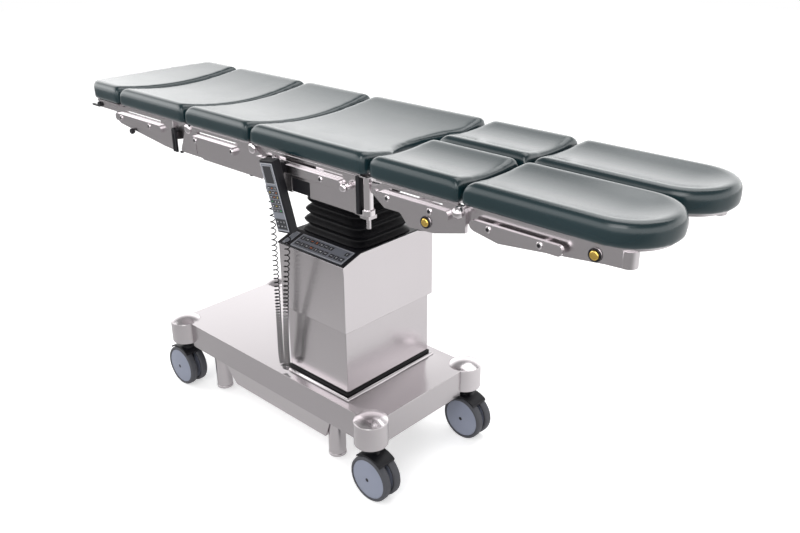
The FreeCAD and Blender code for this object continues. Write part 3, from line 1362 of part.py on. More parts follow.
def cord():
    """The outer tube of the curly cord: straight runs joined by tangent arcs."""
    points = [Vector(*p) for p in ROUTE]
    edges, at, radii = [], points[0], []
    for i in range(1, len(points) - 1):
        before, here, after = points[i - 1], points[i], points[i + 1]
        into, away = (before - here), (after - here)
        run = min(into.Length, away.Length)
        into.normalize()
        away.normalize()
        half = into.getAngle(away) / 2
        reach = 0.45 * run
        radius = reach * math.tan(half)
        start, end = here + into * reach, here + away * reach
        middle = here + (into + away).normalize() * (radius / math.sin(half) - radius)
        edges.append(Part.LineSegment(at, start).toShape())
        edges.append(Part.Arc(start, middle, end).toShape())
        at = end
        radii.append(round(radius))
    edges.append(Part.LineSegment(at, points[-1]).toShape())
    path = Part.Wire(edges)
    first = (points[1] - points[0]).normalize()
    ring = Part.Wire(Part.Circle(points[0], first, value("cord_radius")).toShape())
    tube = path.makePipeShell([ring], True, False)
    whole = math.pi * value("cord_radius") ** 2 * path.Length
    print("cord bend radii", radii, "length", round(path.Length), "volume share",
          round(tube.Volume / whole, 3))
    node("cord_curl", feature("cord_tube", tube))
    collar, flange, long = value("cord_radius") + 3, value("socket_radius"), value("socket_length")
    socket = turned([(0, 0), (collar, 0), (collar, 8), (flange, 12), (flange, long), (0, long)],
                    Vector(ROUTE[0][0], value("socket_inset") - value("plate_face"),
                           value("plate_bottom") - long), "Z")
    node("cord_socket", feature("cord_socket_turned", socket))


def build():
    base_chassis()
    base_cover()
    base_under_pan()
    corner_posts()
    post_caps()
    column_gasket()
    lower_shroud()
    mast_outer()
    stabiliser_feet()
    for side in SIDES:
        for end in ("head", "foot"):
            caster(side, end)
    upper_shroud()
    shoulder_cap()
    control_overlay()
    mast_inner()
    bellows()
    tilt_cross()
    seat_frame()
    seat_side_plates()
    seat_end_profiles()
    lower_back_frame()
    back_hinge_pins()
    upper_back_frame()
    back_release_levers()
    head_frame()
    head_release_lever()
    cushions()
    for side in SIDES:
        locking_pin(side)
        leg_swivel(side)
        thigh_frame(side)
        leg_frame(side)
        release_button(side, "thigh_button", "thigh_button_x", "thigh_button_z", "plate_face")
        release_button(side, "leg_button", "leg_button_x", "leg_button_z", "lug_face")
    handset()
    cord()


build()
doc.recompute()
for thing in doc.Objects:
    if {"Invalid", "Error"} & set(thing.State):
        raise RuntimeError(f"{thing.Name} did not build: {thing.State}")
os.makedirs("parts", exist_ok=True)
for thing in nodes:
    if thing.Shape.isNull() or not thing.Shape.isValid() or thing.Shape.Volume < 1:
        raise RuntimeError(f"{thing.Label} has no valid shape")
    thing.Shape.exportStep(os.path.join("parts", thing.Label + ".step"))
print(len(nodes), "nodes")
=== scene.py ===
# %% [markdown]
# # A powered operating table
# The imported CAD model is loaded first as a fixed frame: every piece below sits on it, in metres, with
# x = 0 on the column, +X to the foot end and z = 0 on the floor. The near side, where the hand control
# hangs, is -Y.

# %% Load the frame
import json
import math

import bmesh
import bpy
from mathutils import Matrix, Vector


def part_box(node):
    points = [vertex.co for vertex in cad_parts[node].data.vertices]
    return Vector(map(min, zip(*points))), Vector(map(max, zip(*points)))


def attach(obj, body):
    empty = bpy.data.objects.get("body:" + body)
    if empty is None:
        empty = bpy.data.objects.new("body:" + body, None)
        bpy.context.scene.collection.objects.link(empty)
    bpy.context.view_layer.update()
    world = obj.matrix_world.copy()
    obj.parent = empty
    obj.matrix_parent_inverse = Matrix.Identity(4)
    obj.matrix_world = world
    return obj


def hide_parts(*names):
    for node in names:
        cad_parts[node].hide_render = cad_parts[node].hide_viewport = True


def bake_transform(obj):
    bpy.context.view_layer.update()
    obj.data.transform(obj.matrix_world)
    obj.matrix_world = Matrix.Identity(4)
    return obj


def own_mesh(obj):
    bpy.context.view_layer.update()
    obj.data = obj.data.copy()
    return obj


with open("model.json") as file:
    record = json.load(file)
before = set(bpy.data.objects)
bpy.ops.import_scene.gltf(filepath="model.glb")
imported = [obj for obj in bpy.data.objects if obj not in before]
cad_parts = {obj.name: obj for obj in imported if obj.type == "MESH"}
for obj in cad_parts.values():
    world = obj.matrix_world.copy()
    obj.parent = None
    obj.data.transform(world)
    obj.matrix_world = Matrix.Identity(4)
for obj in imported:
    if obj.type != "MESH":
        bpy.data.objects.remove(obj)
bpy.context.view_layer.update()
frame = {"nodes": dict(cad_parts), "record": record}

record = frame["record"]
BODY_OF = {node: body for body, nodes in record["behaviour"]["bodies"].items() for node in nodes}
SLOT_OF = {part["node"]: part["material_slot"] for part in record["subparts"]}
SIDES = {"near": -1, "far": 1}
print(len(BODY_OF), "nodes in the frame")

# %% [markdown]
# ## Shader arithmetic
# A finish is a small graph of nodes. Written out link by link it hides its own formula, so a socket is
# wrapped in a class whose operators add the Math nodes: `0.3 + 0.2 * grain` then builds two of them.
# Everything else, such as noise or a colour mix, comes from one method of the finish.


# %% Shader helpers
MIX_SHARE, MIX_FIRST, MIX_SECOND, MIX_RESULT = 0, 6, 7, 2


class Signal:
    """A node's output that can be used in arithmetic."""

    def __init__(self, finish, socket):
        self.finish, self.socket = finish, socket

    def math(self, operation, first, second):
        return self.finish.node("ShaderNodeMath", {"operation": operation}, {0: first, 1: second})

    def __add__(self, other):
        return self.math("ADD", self, other)

    def __radd__(self, other):
        return self.math("ADD", other, self)

    def __rmul__(self, other):
        return self.math("MULTIPLY", other, self)


class Graph:
    """A node tree that is added to one node at a time."""

    def __init__(self, tree):
        self.tree = tree

    def node(self, kind, settings, inputs, output=0):
        """A new node's output. Each input takes a constant or the output of another node."""
        made = self.tree.nodes.new(kind)
        for key, value in settings.items():
            setattr(made, key, value)
        for key, value in inputs.items():
            self.feed(made.inputs[key], value)
        return Signal(self, made.outputs[output])

    def feed(self, socket, value):
        if isinstance(value, Signal):
            self.tree.links.new(value.socket, socket)
        else:
            socket.default_value = value

    def place(self, stretch=(1, 1, 1)):
        """Object coordinates, stretched per axis."""
        spot = self.node("ShaderNodeTexCoord", {}, {}, "Object")
        return self.node("ShaderNodeMapping", {}, {"Vector": spot, "Scale": stretch})

    def noise(self, scale, detail=3.0, stretch=(1, 1, 1)):
        inputs = {"Vector": self.place(stretch), "Scale": scale, "Detail": detail}
        return self.node("ShaderNodeTexNoise", {}, inputs)

    def mix(self, share, first, second):
        """A blend of two colours. Their sockets come after those for numbers, so they go by number."""
        inputs = {MIX_SHARE: share, MIX_FIRST: first, MIX_SECOND: second}
        return self.node("ShaderNodeMix", {"data_type": "RGBA"}, inputs, MIX_RESULT)

    def axis(self, coordinates, name):
        """One coordinate of the place or direction that a Texture Coordinate output gives."""
        spot = self.node("ShaderNodeTexCoord", {}, {}, coordinates)
        return self.node("ShaderNodeSeparateXYZ", {}, {"Vector": spot}, name)

    def ramp(self, level, start, end):
        """0 at the start, 1 at the end, and held beyond both."""
        inputs = {"Value": level, "From Min": start, "From Max": end}
        return self.node("ShaderNodeMapRange", {"clamp": True}, inputs)

    def ray(self, kind):
        """1 for a ray of this kind, such as one that left the camera, and 0 for any other."""
        return self.node("ShaderNodeLightPath", {}, {}, kind)


class Finish(Graph):
    """A Principled material whose inputs are set by name."""

    def __init__(self, name, **constants):
        self.material = bpy.data.materials.new(name)
        self.material.use_nodes = True
        super().__init__(self.material.node_tree)
        self.shader = next(n for n in self.tree.nodes if n.type == "BSDF_PRINCIPLED")
        self.set(**constants)

    def set(self, **inputs):
        for key, value in inputs.items():
            self.feed(self.shader.inputs[key.replace("_", " ")], value)

    def bump(self, height, depth, strength=1.0):
        made = self.node("ShaderNodeBump", {}, {"Height": height, "Distance": depth, "Strength": strength})
        self.feed(self.shader.inputs["Normal"], made)


# %% [markdown]
# ## Stainless steel, brushed and polished
# Sheet steel is never an even mirror. The brushed cover and side plates carry fine lines along the
# table: noise that changes some eighty times as fast across them as along them. The column shrouds
# are polished: nearly a mirror, with a slow waviness where the thin sheet is not quite flat.


# %% Steel finishes
STEEL_TINT = (1.0, 0.945, 0.97)
DARK_SHARE = 0.93
LINE_SCALE, LINE_SPREAD, LINE_DEPTH, LINE_STRENGTH = 60, 0.06, 0.0001, 0.06
CLOUD_SCALE, CLOUD_SPREAD = 3.0, 0.04
WAVE_SCALE, WAVE_DEPTH, WAVE_STRENGTH = 4.0, 0.0012, 0.3
SMEAR_SCALE, SMEAR_STRETCH, SMEAR_SPREAD = 50, (1, 1, 18), 0.06


def tinted(tone):
    """Stainless steel is a little warm, and reflects less green."""
    return (*(tone * share for share in STEEL_TINT), 1)


def brushed(name, tone, lines, roughness):
    finish = Finish(name, Metallic=1.0)
    grain = finish.noise(LINE_SCALE, detail=4.0, stretch=lines)
    cloud = finish.noise(CLOUD_SCALE, detail=2.0)
    finish.set(Base_Color=finish.mix(grain, tinted(tone * DARK_SHARE), tinted(tone)))
    finish.set(Roughness=roughness - LINE_SPREAD / 2 + LINE_SPREAD * grain + CLOUD_SPREAD * cloud)
    finish.bump(grain, LINE_DEPTH, LINE_STRENGTH)
    return finish.material


def polished(name, tone, roughness):
    finish = Finish(name, Metallic=1.0)
    wave = finish.noise(WAVE_SCALE, detail=1.0)
    smear = finish.noise(SMEAR_SCALE, detail=3.0, stretch=SMEAR_STRETCH)
    finish.set(Base_Color=finish.mix(wave, tinted(tone * DARK_SHARE), tinted(tone)))
    finish.set(Roughness=roughness + SMEAR_SPREAD * smear)
    finish.bump(wave, WAVE_DEPTH, WAVE_STRENGTH)
    return finish.material


FINISH = {
    "brushed_stainless": brushed("Brushed stainless", tone=0.66, lines=(0.15, 12, 12), roughness=0.22),
    "polished_stainless": polished("Polished stainless", tone=0.68, roughness=0.2),
    "polished_chrome": polished("Polished chrome", tone=0.85, roughness=0.04),
}
DECK_STEEL = brushed("Deck sheet", tone=0.54, lines=(0.2, 12, 12), roughness=0.17)
SKIRT_STEEL = polished("Lower shroud", tone=0.62, roughness=0.2)
print("steel finishes ready")

# %% [markdown]
# ## Upholstery, rubber and plastic
# The cushions have a smooth, dark blue-green coating with a satin sheen: seen at a low angle they turn
# pale with the light of the room, which the shader's own reflection gives when roughness stays near a
# quarter. A light leather-like grain breaks it up. Rubber and plastic differ mostly in roughness.


# %% Soft and moulded finishes
COATING_CLOUD_SCALE = 6.0
GRAIN_STRENGTH = 0.4
MARK_GRAIN, MARK_DEPTH = 200, 0.0001


def coated(name, dark, light, roughness, grain_size, grain_depth, spread=0.1, **constants):
    """A colour that drifts between two tones, under a fine grain."""
    finish = Finish(name, **constants)
    grain = finish.noise(grain_size, detail=4.0)
    cloud = finish.noise(COATING_CLOUD_SCALE, detail=2.0)
    finish.set(Base_Color=finish.mix(cloud, (*dark, 1), (*light, 1)))
    finish.set(Roughness=roughness - spread / 2 + spread * cloud)
    finish.bump(grain, grain_depth, GRAIN_STRENGTH)
    return finish.material


FINISH["dark_green_foam"] = coated(
    "Coated cushion", (0.005, 0.019, 0.023), (0.008, 0.026, 0.032), 0.25, 700, 0.0002, 0.08,
    Specular_IOR_Level=0.5, Coat_Weight=0.28, Coat_Roughness=0.2)
FINISH["black_rubber"] = coated(
    "Black rubber", (0.002, 0.002, 0.003), (0.005, 0.005, 0.006), 0.45, 300, 0.0002,
    Specular_IOR_Level=0.15)
FINISH["black_plastic"] = coated(
    "Black plastic", (0.005, 0.005, 0.007), (0.010, 0.010, 0.013), 0.42, 500, 0.0001,
    Specular_IOR_Level=0.3)
FINISH["grey_overlay"] = coated(
    "Grey membrane", (0.15, 0.16, 0.19), (0.19, 0.20, 0.23), 0.42, 300, 0.0001)
FINISH["cast_body"] = coated(
    "Dark casting", (0.03, 0.03, 0.032), (0.05, 0.05, 0.052), 0.55, 120, 0.0004)
FINISH["tyre_grey"] = coated(
    "Tyre tread", (0.045, 0.046, 0.055), (0.062, 0.063, 0.073), 0.6, 240, 0.0003)
FINISH["wheel_disc"] = coated(
    "Wheel disc", (0.20, 0.22, 0.29), (0.25, 0.27, 0.34), 0.4, 200, 0.0001)
MARK_TONES = {
    "Dark keys": ((0.015, 0.016, 0.02), (0.03, 0.031, 0.036), 0.35),
    "Printed line": ((0.50, 0.51, 0.54), (0.58, 0.59, 0.62), 0.4),
    "Orange mark": ((0.75, 0.16, 0.02), (0.85, 0.22, 0.03), 0.4),
    "Yellow mark": ((0.75, 0.55, 0.05), (0.85, 0.62, 0.08), 0.4),
    "Green mark": ((0.04, 0.40, 0.10), (0.06, 0.48, 0.14), 0.4),
}
DARK, PALE, ORANGE, YELLOW, GREEN = range(len(MARK_TONES))
KEY_FINISHES = [coated(name, *tones, MARK_GRAIN, MARK_DEPTH) for name, tones in MARK_TONES.items()]


BRASS_CLOUD_SCALE, BRASS_ROUGHNESS, BRASS_SPREAD = 90, 0.2, 0.12


def brass():
    finish = Finish("Brass button", Metallic=1.0)
    cloud = finish.noise(BRASS_CLOUD_SCALE, detail=3.0)
    finish.set(Base_Color=finish.mix(cloud, (0.80, 0.52, 0.10, 1), (0.92, 0.66, 0.20, 1)))
    finish.set(Roughness=BRASS_ROUGHNESS + BRASS_SPREAD * cloud)
    return finish.material


FINISH["brass_button"] = brass()
print(len(FINISH), "finishes")

# %% [markdown]
# ## Dressing a rigid CAD piece
# Turned and bent metal has no razor edges, and the light along an edge is what makes it read as metal.
# Each rigid node is copied, its loose triangles are welded and dissolved into the flat faces they came
# from, and a narrow bevel breaks every sharp edge. Modelling them afresh would only risk the fit.


# %% Helpers for pieces
WELD = 0.00001
FLAT_WITHIN = math.radians(0.4)
BEVEL_ABOVE = math.radians(35.0)
CREASE, ROUND_CREASE = 32.0, 60.0


def placed(name, data):
    """An object of this data at the origin."""
    thing = bpy.data.objects.new(name, data)
    bpy.context.scene.collection.objects.link(thing)
    return thing


def as_mesh(name, shape):
    """The mesh of a bmesh, which is freed."""
    mesh = bpy.data.meshes.new(name)
    shape.to_mesh(mesh)
    shape.free()
    return mesh


def baked(thing):
    """The mesh that an object's modifiers or curve come to. The object itself is removed."""
    bpy.context.view_layer.update()
    mesh = bpy.data.meshes.new_from_object(thing.evaluated_get(bpy.context.evaluated_depsgraph_get()))
    bpy.data.objects.remove(thing)
    return mesh


def piece(name, mesh, material, body, replaced=(), crease=CREASE):
    """A finished object that rides on a body of the frame, if one is given.

    The shading is smooth, apart from edges sharper than the crease, in degrees.
    """
    if isinstance(mesh, bmesh.types.BMesh):
        mesh = as_mesh(name, mesh)
    mesh.polygons.foreach_set("use_smooth", [True] * len(mesh.polygons))
    mesh.set_sharp_from_angle(angle=math.radians(crease))
    mesh.materials.append(material)
    thing = placed(name, mesh)
    if body:
        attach(thing, body)
    if replaced:
        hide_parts(*replaced)
    return thing


def node_mesh(node):
    """A bmesh of a node with its triangles welded."""
    shape = bmesh.new()
    shape.from_mesh(frame["nodes"][node].data)
    bmesh.ops.remove_doubles(shape, verts=shape.verts, dist=WELD)
    return shape


def soften_edges(thing, width, segments=2):
    bevel = thing.modifiers.new("edge", "BEVEL")
    bevel.width, bevel.segments = width, segments
    bevel.limit_method, bevel.angle_limit = "ANGLE", BEVEL_ABOVE


def dress(node, edge, material):
    """The node itself, with its flat faces made whole and its edges bevelled."""
    shape = node_mesh(node)
    bmesh.ops.dissolve_limit(shape, angle_limit=FLAT_WITHIN, verts=shape.verts, edges=shape.edges)
    slot = SLOT_OF[node]
    thing = piece(node + "_dressed", shape, material or FINISH[slot], BODY_OF[node], [node])
    soften_edges(thing, edge)


# %% Dress the rigid pieces
USUAL_EDGE = 0.0008
EDGE = {"base_cover": 0.0025, "upper_shroud": 0.0015, "lower_shroud": 0.0015, "shoulder_cap": 0.0015,
        "column_gasket": 0.0025, "base_under_pan": 0.002, "corner_posts": 0.001, "post_caps": 0.0015}
SOFT = ["head_pad", "upper_back_pad", "lower_back_pad", "seat_pad"]
SOFT += [f"{part}_pad_{side}" for part in ("thigh", "leg") for side in SIDES]
MADE_NEW = SOFT + ["bellows", "cord_curl"]
SPECIAL = {"base_cover": DECK_STEEL, "lower_shroud": SKIRT_STEEL}
for node_name in BODY_OF:
    if node_name not in MADE_NEW:
        dress(node_name, EDGE.get(node_name, USUAL_EDGE), SPECIAL.get(node_name))
print("rigid pieces dressed")

# %% [markdown]
# ## Cushions
# Each cushion is a block of moulded foam in a seamless coating: high sides, a shallow trough along the
# middle, and a big soft nose at the head end. The CAD solid has that form with hard creases. A voxel
# remesh turns it into even small faces and rounds of smoothing melt the creases, as a foam skin does.


# %% Moulded foam
VOXEL = 0.006
MELT_ROUNDS, MELT_FACTOR = 9, 0.5
FOAM_CREASE = 80.0
ALL_AXES = {"use_axis_x": True, "use_axis_y": True, "use_axis_z": True}


def foam(node):
    """A cushion's solid as one even skin, melted."""
    source = placed(node + "_source", as_mesh(node + "_source", node_mesh(node)))
    remesh = source.modifiers.new("even", "REMESH")
    remesh.mode, remesh.voxel_size = "VOXEL", VOXEL
    shape = bmesh.new()
    shape.from_mesh(baked(source))
    for _ in range(MELT_ROUNDS):
        bmesh.ops.smooth_vert(shape, verts=shape.verts, factor=MELT_FACTOR, **ALL_AXES)
    thing = piece(node + "_foam", shape, FINISH["dark_green_foam"], BODY_OF[node],
                  [node], FOAM_CREASE)
    return thing


cushions = {node: foam(node) for node in SOFT}
print("cushions", {name: len(thing.data.polygons) for name, thing in cushions.items()})

# %% [markdown]
# Foam sections press against each other when the back is raised, because their hinges lie below the
# cushions. The cushions of the back and the seat each get a mesh of their own; the table gives each back
# cushion's joint and a share of its length.

# %% Cushions with meshes of their own
FOAM_KEEP = {"lower_back_pad": ("lower_back", 0.84), "upper_back_pad": ("upper_back", 0.93),
             "head_pad": ("head_rest", 0.88)}
for node_name, (joint, keep) in FOAM_KEEP.items():
    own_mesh(cushions[node_name])
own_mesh(cushions["seat_pad"])

# %% [markdown]
# ## Bellows
# A folded rubber skirt hides the tilting head. Its plan is a rounded rectangle that shrinks upwards,
# and every fold is a soft ridge. One ring of edges is extruded ring after ring and scaled in and out.
# It is cut in two at the height of the tilt axes, into a lower and an upper part.


# %% Folded rubber
RING_STEPS = 64
FOLDS = 5
FOLD_STEPS = 8
FOLD_DEPTH = 0.013
FOLD_SHARPNESS = 0.8
SQUARENESS = 0.28
BELLOWS_TOP_X, BELLOWS_TOP_Y = 0.112, 0.096
RUBBER_SHEET = 0.003
BELLOWS_CUT = 0.6


def ring_point(angle, half_x, half_y):
    """A point on a rounded rectangle."""
    c, s = math.cos(angle), math.sin(angle)
    return half_x * math.copysign(abs(c) ** SQUARENESS, c), half_y * math.copysign(abs(s) ** SQUARENESS, s)


def match_ring(old, fresh):
    """The new ring's vertices in the order of the old one: each grew from the vertex it is linked to."""
    order = []
    for vert in old:
        order.append(next(e.other_vert(vert) for e in vert.link_edges if e.other_vert(vert) in fresh))
    return order


def bellows_part(name, share_low, share_high):
    """The bellows between two shares of its height."""
    low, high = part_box("bellows")
    shape = bmesh.new()
    ring = bmesh.ops.create_circle(shape, cap_ends=False, radius=1.0, segments=RING_STEPS)["verts"]
    angles = [math.atan2(v.co.y, v.co.x) for v in ring]
    steps = round((share_high - share_low) * FOLDS * FOLD_STEPS)
    edges = list(shape.edges)
    for step in range(steps + 1):
        share = share_low + (share_high - share_low) * step / steps
        tuck = FOLD_DEPTH * (0.5 - 0.5 * math.cos(2 * math.pi * FOLDS * share)) ** FOLD_SHARPNESS
        half_x = high.x + share * (BELLOWS_TOP_X - high.x) - tuck
        half_y = high.y + share * (BELLOWS_TOP_Y - high.y) - tuck
        for vert, angle in zip(ring, angles):
            vert.co.x, vert.co.y = ring_point(angle, half_x, half_y)
            vert.co.z = low.z + share * (high.z - low.z)
        if step < steps:
            grown = bmesh.ops.extrude_edge_only(shape, edges=edges)["geom"]
            edges = [g for g in grown if isinstance(g, bmesh.types.BMEdge)]
            fresh = {g for g in grown if isinstance(g, bmesh.types.BMVert)}
            ring = match_ring(ring, fresh)
    bmesh.ops.recalc_face_normals(shape, faces=shape.faces)
    bmesh.ops.solidify(shape, geom=list(shape.faces), thickness=RUBBER_SHEET)
    thing = piece(name, shape, FINISH["black_rubber"], None, ["bellows"], ROUND_CREASE)
    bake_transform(thing)


bellows_part("bellows_lower", 0.0, BELLOWS_CUT)
bellows_part("bellows_upper", BELLOWS_CUT, 1.0)
print("bellows folded")

# %% [markdown]
# ## Curly cord
# The hand control hangs on a coiled cord that drops from a socket under the seat, folds on the deck
# and climbs back. Its path is a NURBS curve shaped by a few given points. The coil is a second
# curve that winds about that path, given its thickness by the curve's bevel and then made a mesh.

# %% Wind the cord
ROUTE = [
    (-0.103, -0.238, 0.884), (-0.106, -0.237, 0.700), (-0.117, -0.231, 0.520), (-0.131, -0.222, 0.380),
    (-0.142, -0.214, 0.300), (-0.138, -0.210, 0.279), (-0.118, -0.210, 0.279), (-0.111, -0.214, 0.300),
    (-0.101, -0.222, 0.400), (-0.070, -0.238, 0.530), (-0.032, -0.256, 0.672), (-0.012, -0.257, 0.790),
]
CORD_DIAMETER = 0.018
WIRE_RADIUS, WIRE_ROUNDNESS = 0.0017, 1
PITCH_SLACK, PITCH_STRETCHED = 0.0096, 0.023
STRETCHED_RUN = 0.42
TURN_POINTS = 16
SAME_PLACE = 0.00005
PATH_STEPS, PATH_ORDER = 64, 3


def curve_of(name, kind, points, steps=1):
    """A curve of one spline that has these points, and is worked out in steps between them."""
    curve = bpy.data.curves.new(name, "CURVE")
    curve.dimensions = "3D"
    curve.resolution_u = steps
    spline = curve.splines.new(kind)
    spline.points.add(len(points) - 1)
    for point, place in zip(spline.points, points):
        point.co = (*place, 1)
    return curve


def nurbs_path(points):
    """Places along a smooth curve that has the points as its control points."""
    curve = curve_of("cord_route", "NURBS", points, PATH_STEPS)
    curve.splines[0].order_u = PATH_ORDER
    curve.splines[0].use_endpoint_u = True
    line = [v.co.copy() for v in baked(placed("cord_route", curve)).vertices]
    return [line[0]] + [b for a, b in zip(line, line[1:]) if (b - a).length > SAME_PLACE]


def measured(line):
    """Distance along the line at each of its points."""
    run = [0.0]
    for a, b in zip(line, line[1:]):
        run.append(run[-1] + (b - a).length)
    return run


def along(line, run, distance):
    """The place and direction at a distance along the line."""
    low, high = 0, len(run) - 1
    while high - low > 1:
        middle = (low + high) // 2
        if run[middle] <= distance:
            low = middle
        else:
            high = middle
    share = (distance - run[low]) / max(run[high] - run[low], 1e-9)
    return line[low].lerp(line[high], share), (line[high] - line[low]).normalized()


def pitch_at(distance, length):
    """Turns hang open where the cord carries its own weight, and lie close in the fold."""
    pull = max(0.0, 1 - min(distance, length - distance) / STRETCHED_RUN)
    return PITCH_SLACK + (PITCH_STRETCHED - PITCH_SLACK) * pull


def coil(line):
    """Points of the wire as it winds about the line, and the line's length."""
    run = measured(line)
    length, radius = run[-1], CORD_DIAMETER / 2 - WIRE_RADIUS
    side = Vector((1, 0, 0))
    points, distance, step = [], 0.0, 0
    while distance <= length:
        place, ahead = along(line, run, distance)
        side = (side - ahead * side.dot(ahead)).normalized()
        turn = 2 * math.pi * step / TURN_POINTS
        points.append(place + radius * (math.cos(turn) * side + math.sin(turn) * ahead.cross(side)))
        distance += pitch_at(distance, length) / TURN_POINTS
        step += 1
    return points, length


def wire_mesh(name, points):
    """A round wire along the points."""
    curve = curve_of(name, "POLY", points)
    curve.bevel_depth = WIRE_RADIUS
    curve.bevel_resolution = WIRE_ROUNDNESS
    curve.use_fill_caps = True
    return baked(placed(name, curve))


route = nurbs_path(ROUTE)
turns, cord_length = coil(route)
cord = piece("cord_coil", wire_mesh("cord_coil", turns), FINISH["black_rubber"], "seat",
             ["cord_curl"], ROUND_CREASE)
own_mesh(cord)
print("cord", round(cord_length, 3), "m,", len(turns), "points")

# %% [markdown]
# ## Small fittings
# Screws hold the accessory rails, with a black cup inside each screw's socket as painted shade for the
# recess. A knob stands on each plate of the upper back, rubber stops sit under the plates of the back,
# and a dark ring goes round each brass button. They are all turned parts, so each is a profile of radii
# and distances spun about an axis.

# %% Turned fittings
SPIN_STEPS, RING_PROFILE_STEPS = 32, 12
SPUN_WELD, SPUN_CREASE = 0.000005, 35.0
PLATE_FACE, LEG_PLATE_FACE = 0.240, 0.2297
RAIL_FACE, PROUD_RAIL_FACE = 0.250, 0.2503
BACK_RAIL_Z, LEG_RAIL_Z = 0.974, 0.978
RAIL_SCREWS = {
    "upper_back": (BACK_RAIL_Z, RAIL_FACE, (-0.879, -0.707)),
    "lower_back": (BACK_RAIL_Z, RAIL_FACE, (-0.448, -0.262)),
    "seat": (BACK_RAIL_Z, PROUD_RAIL_FACE, (-0.098, 0.128)),
    "thigh": (LEG_RAIL_Z, RAIL_FACE, (0.374, 0.513)),
    "leg": (LEG_RAIL_Z, PROUD_RAIL_FACE, (0.688, 0.826)),
}
KNOB_X, KNOB_Z = -0.826, 0.936
STOP_X = {"upper": -0.552, "lower": -0.192}
STOP_Z, STOP_INSET, DOWN = 0.9152, 0.006, (0, 0, -1)
SCREW = [(0, 0.0012), (0.0040, 0.0012), (0.0043, 0.0030), (0.0068, 0.0030), (0.0080, 0.0018),
         (0.0080, -0.001)]
KNOB = [(0, 0.012), (0.0075, 0.012), (0.0095, 0.010), (0.0095, 0.003), (0.0070, 0.001), (0.0070, -0.001)]
STOP = [(0, 0.004), (0.0045, 0.004), (0.0060, 0.0025), (0.0060, -0.001)]
# The next profile is a black cup inside each screw's socket: painted shade for the dark of the recess.
SOCKET_SHADE = [(0, 0.0018), (0.0044, 0.0018), (0.0046, 0.0032)]
BUTTON_RING, BUTTON_RING_BODY, RING_STANDS = 0.0135, 0.0022, 0.0032


def spun(name, profiles, body, slot):
    """One object of turned parts: each is a profile, the point it stands on and the way it faces."""
    shape = bmesh.new()
    for profile, place, facing in profiles:
        facing = Vector(facing).normalized()
        across = facing.orthogonal().normalized()
        verts = [shape.verts.new(Vector(place) + facing * out + across * radius) for radius, out in profile]
        line = verts + [shape.edges.new(pair) for pair in zip(verts, verts[1:])]
        bmesh.ops.spin(shape, geom=line, cent=place, axis=facing, angle=2 * math.pi, steps=SPIN_STEPS)
    bmesh.ops.remove_doubles(shape, verts=shape.verts, dist=SPUN_WELD)
    bmesh.ops.recalc_face_normals(shape, faces=shape.faces)
    piece(name, shape, FINISH[slot], body, crease=SPUN_CREASE)


def ring_profile(middle, body):
    """A round wire's section, at a distance from the axis."""
    angles = [2 * math.pi * i / RING_PROFILE_STEPS for i in range(RING_PROFILE_STEPS + 1)]
    return [(middle + body * math.cos(a), body * math.sin(a)) for a in angles]


for side_name, sign in SIDES.items():
    outward = (0, sign, 0)
    for section, (rail_z, face, places) in RAIL_SCREWS.items():
        name = f"{section}_{side_name}"
        body_name = name if section in ("thigh", "leg") else section
        spots = [(x, sign * face, rail_z) for x in places]
        spun("rail_screws_" + name, [(SCREW, spot, outward) for spot in spots], body_name, "polished_chrome")
        # Painted shade: a black cup inside each rail screw's socket.
        spun("screw_socket_shade_" + name, [(SOCKET_SHADE, spot, outward) for spot in spots], body_name, "black_plastic")
    knob_spot = (KNOB_X, sign * PLATE_FACE, KNOB_Z)
    spun("plate_knob_" + side_name, [(KNOB, knob_spot, outward)], "upper_back", "black_plastic")
    for part, x in STOP_X.items():
        stop_spot = (x, sign * (PLATE_FACE - STOP_INSET), STOP_Z)
        spun(f"{part}_stop_{side_name}", [(STOP, stop_spot, DOWN)], f"{part}_back", "black_rubber")
    for part, face in (("thigh", PLATE_FACE), ("leg", LEG_PLATE_FACE)):
        low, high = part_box(f"{part}_button_{side_name}")
        ring_spot = ((low.x + high.x) / 2, sign * (face + RING_STANDS), (low.z + high.z) / 2)
        ring = (ring_profile(BUTTON_RING, BUTTON_RING_BODY), ring_spot, outward)
        spun(f"{part}_button_ring_{side_name}", [ring], f"{part}_{side_name}", "black_plastic")
print("fittings turned")

# %% [markdown]
# ## Keys and marks
# The hand control and the cap of the column carry membrane keys. Each key is a low bevelled slab on the
# panel, and its symbol is a thinner slab on top. The photograph shows a dark display at the top of the
# hand control, coloured marks in the middle and a dark block of keys at its lower end.

# %% Membrane keys
PANEL_SHEET = 0.0012
KEY_RISE, SYMBOL_RISE = 0.0007, 0.00025
SINK = 0.0003
KEY_EDGE = 0.0002
KEY_CREASE = 30.0
SYMBOL_SHARES = ((0.5, 0.14), (0.16, 0.5), (0.36, 0.3))


def slab(shape, panel, spot, size, base, rise, kind):
    """A flat block on a panel: spot and size are across and up it, base is the surface it stands on."""
    middle = Vector((spot[0], -(base + (rise - SINK) / 2), spot[1]))
    matrix = panel @ Matrix.Translation(middle) @ Matrix.Diagonal((size[0], rise + SINK, size[1], 1))
    verts = bmesh.ops.create_cube(shape, size=1.0, matrix=matrix)["verts"]
    for face in {f for v in verts for f in v.link_faces}:
        face.material_index = kind


def outline(shape, panel, centre, size, line, base, kind):
    """A thin printed frame."""
    wide, tall = size
    for side in (-1, 1):
        slab(shape, panel, (centre[0] + side * wide / 2, centre[1]), (line, tall), base, SYMBOL_RISE, kind)
        slab(shape, panel, (centre[0], centre[1] + side * tall / 2), (wide, line), base, SYMBOL_RISE, kind)


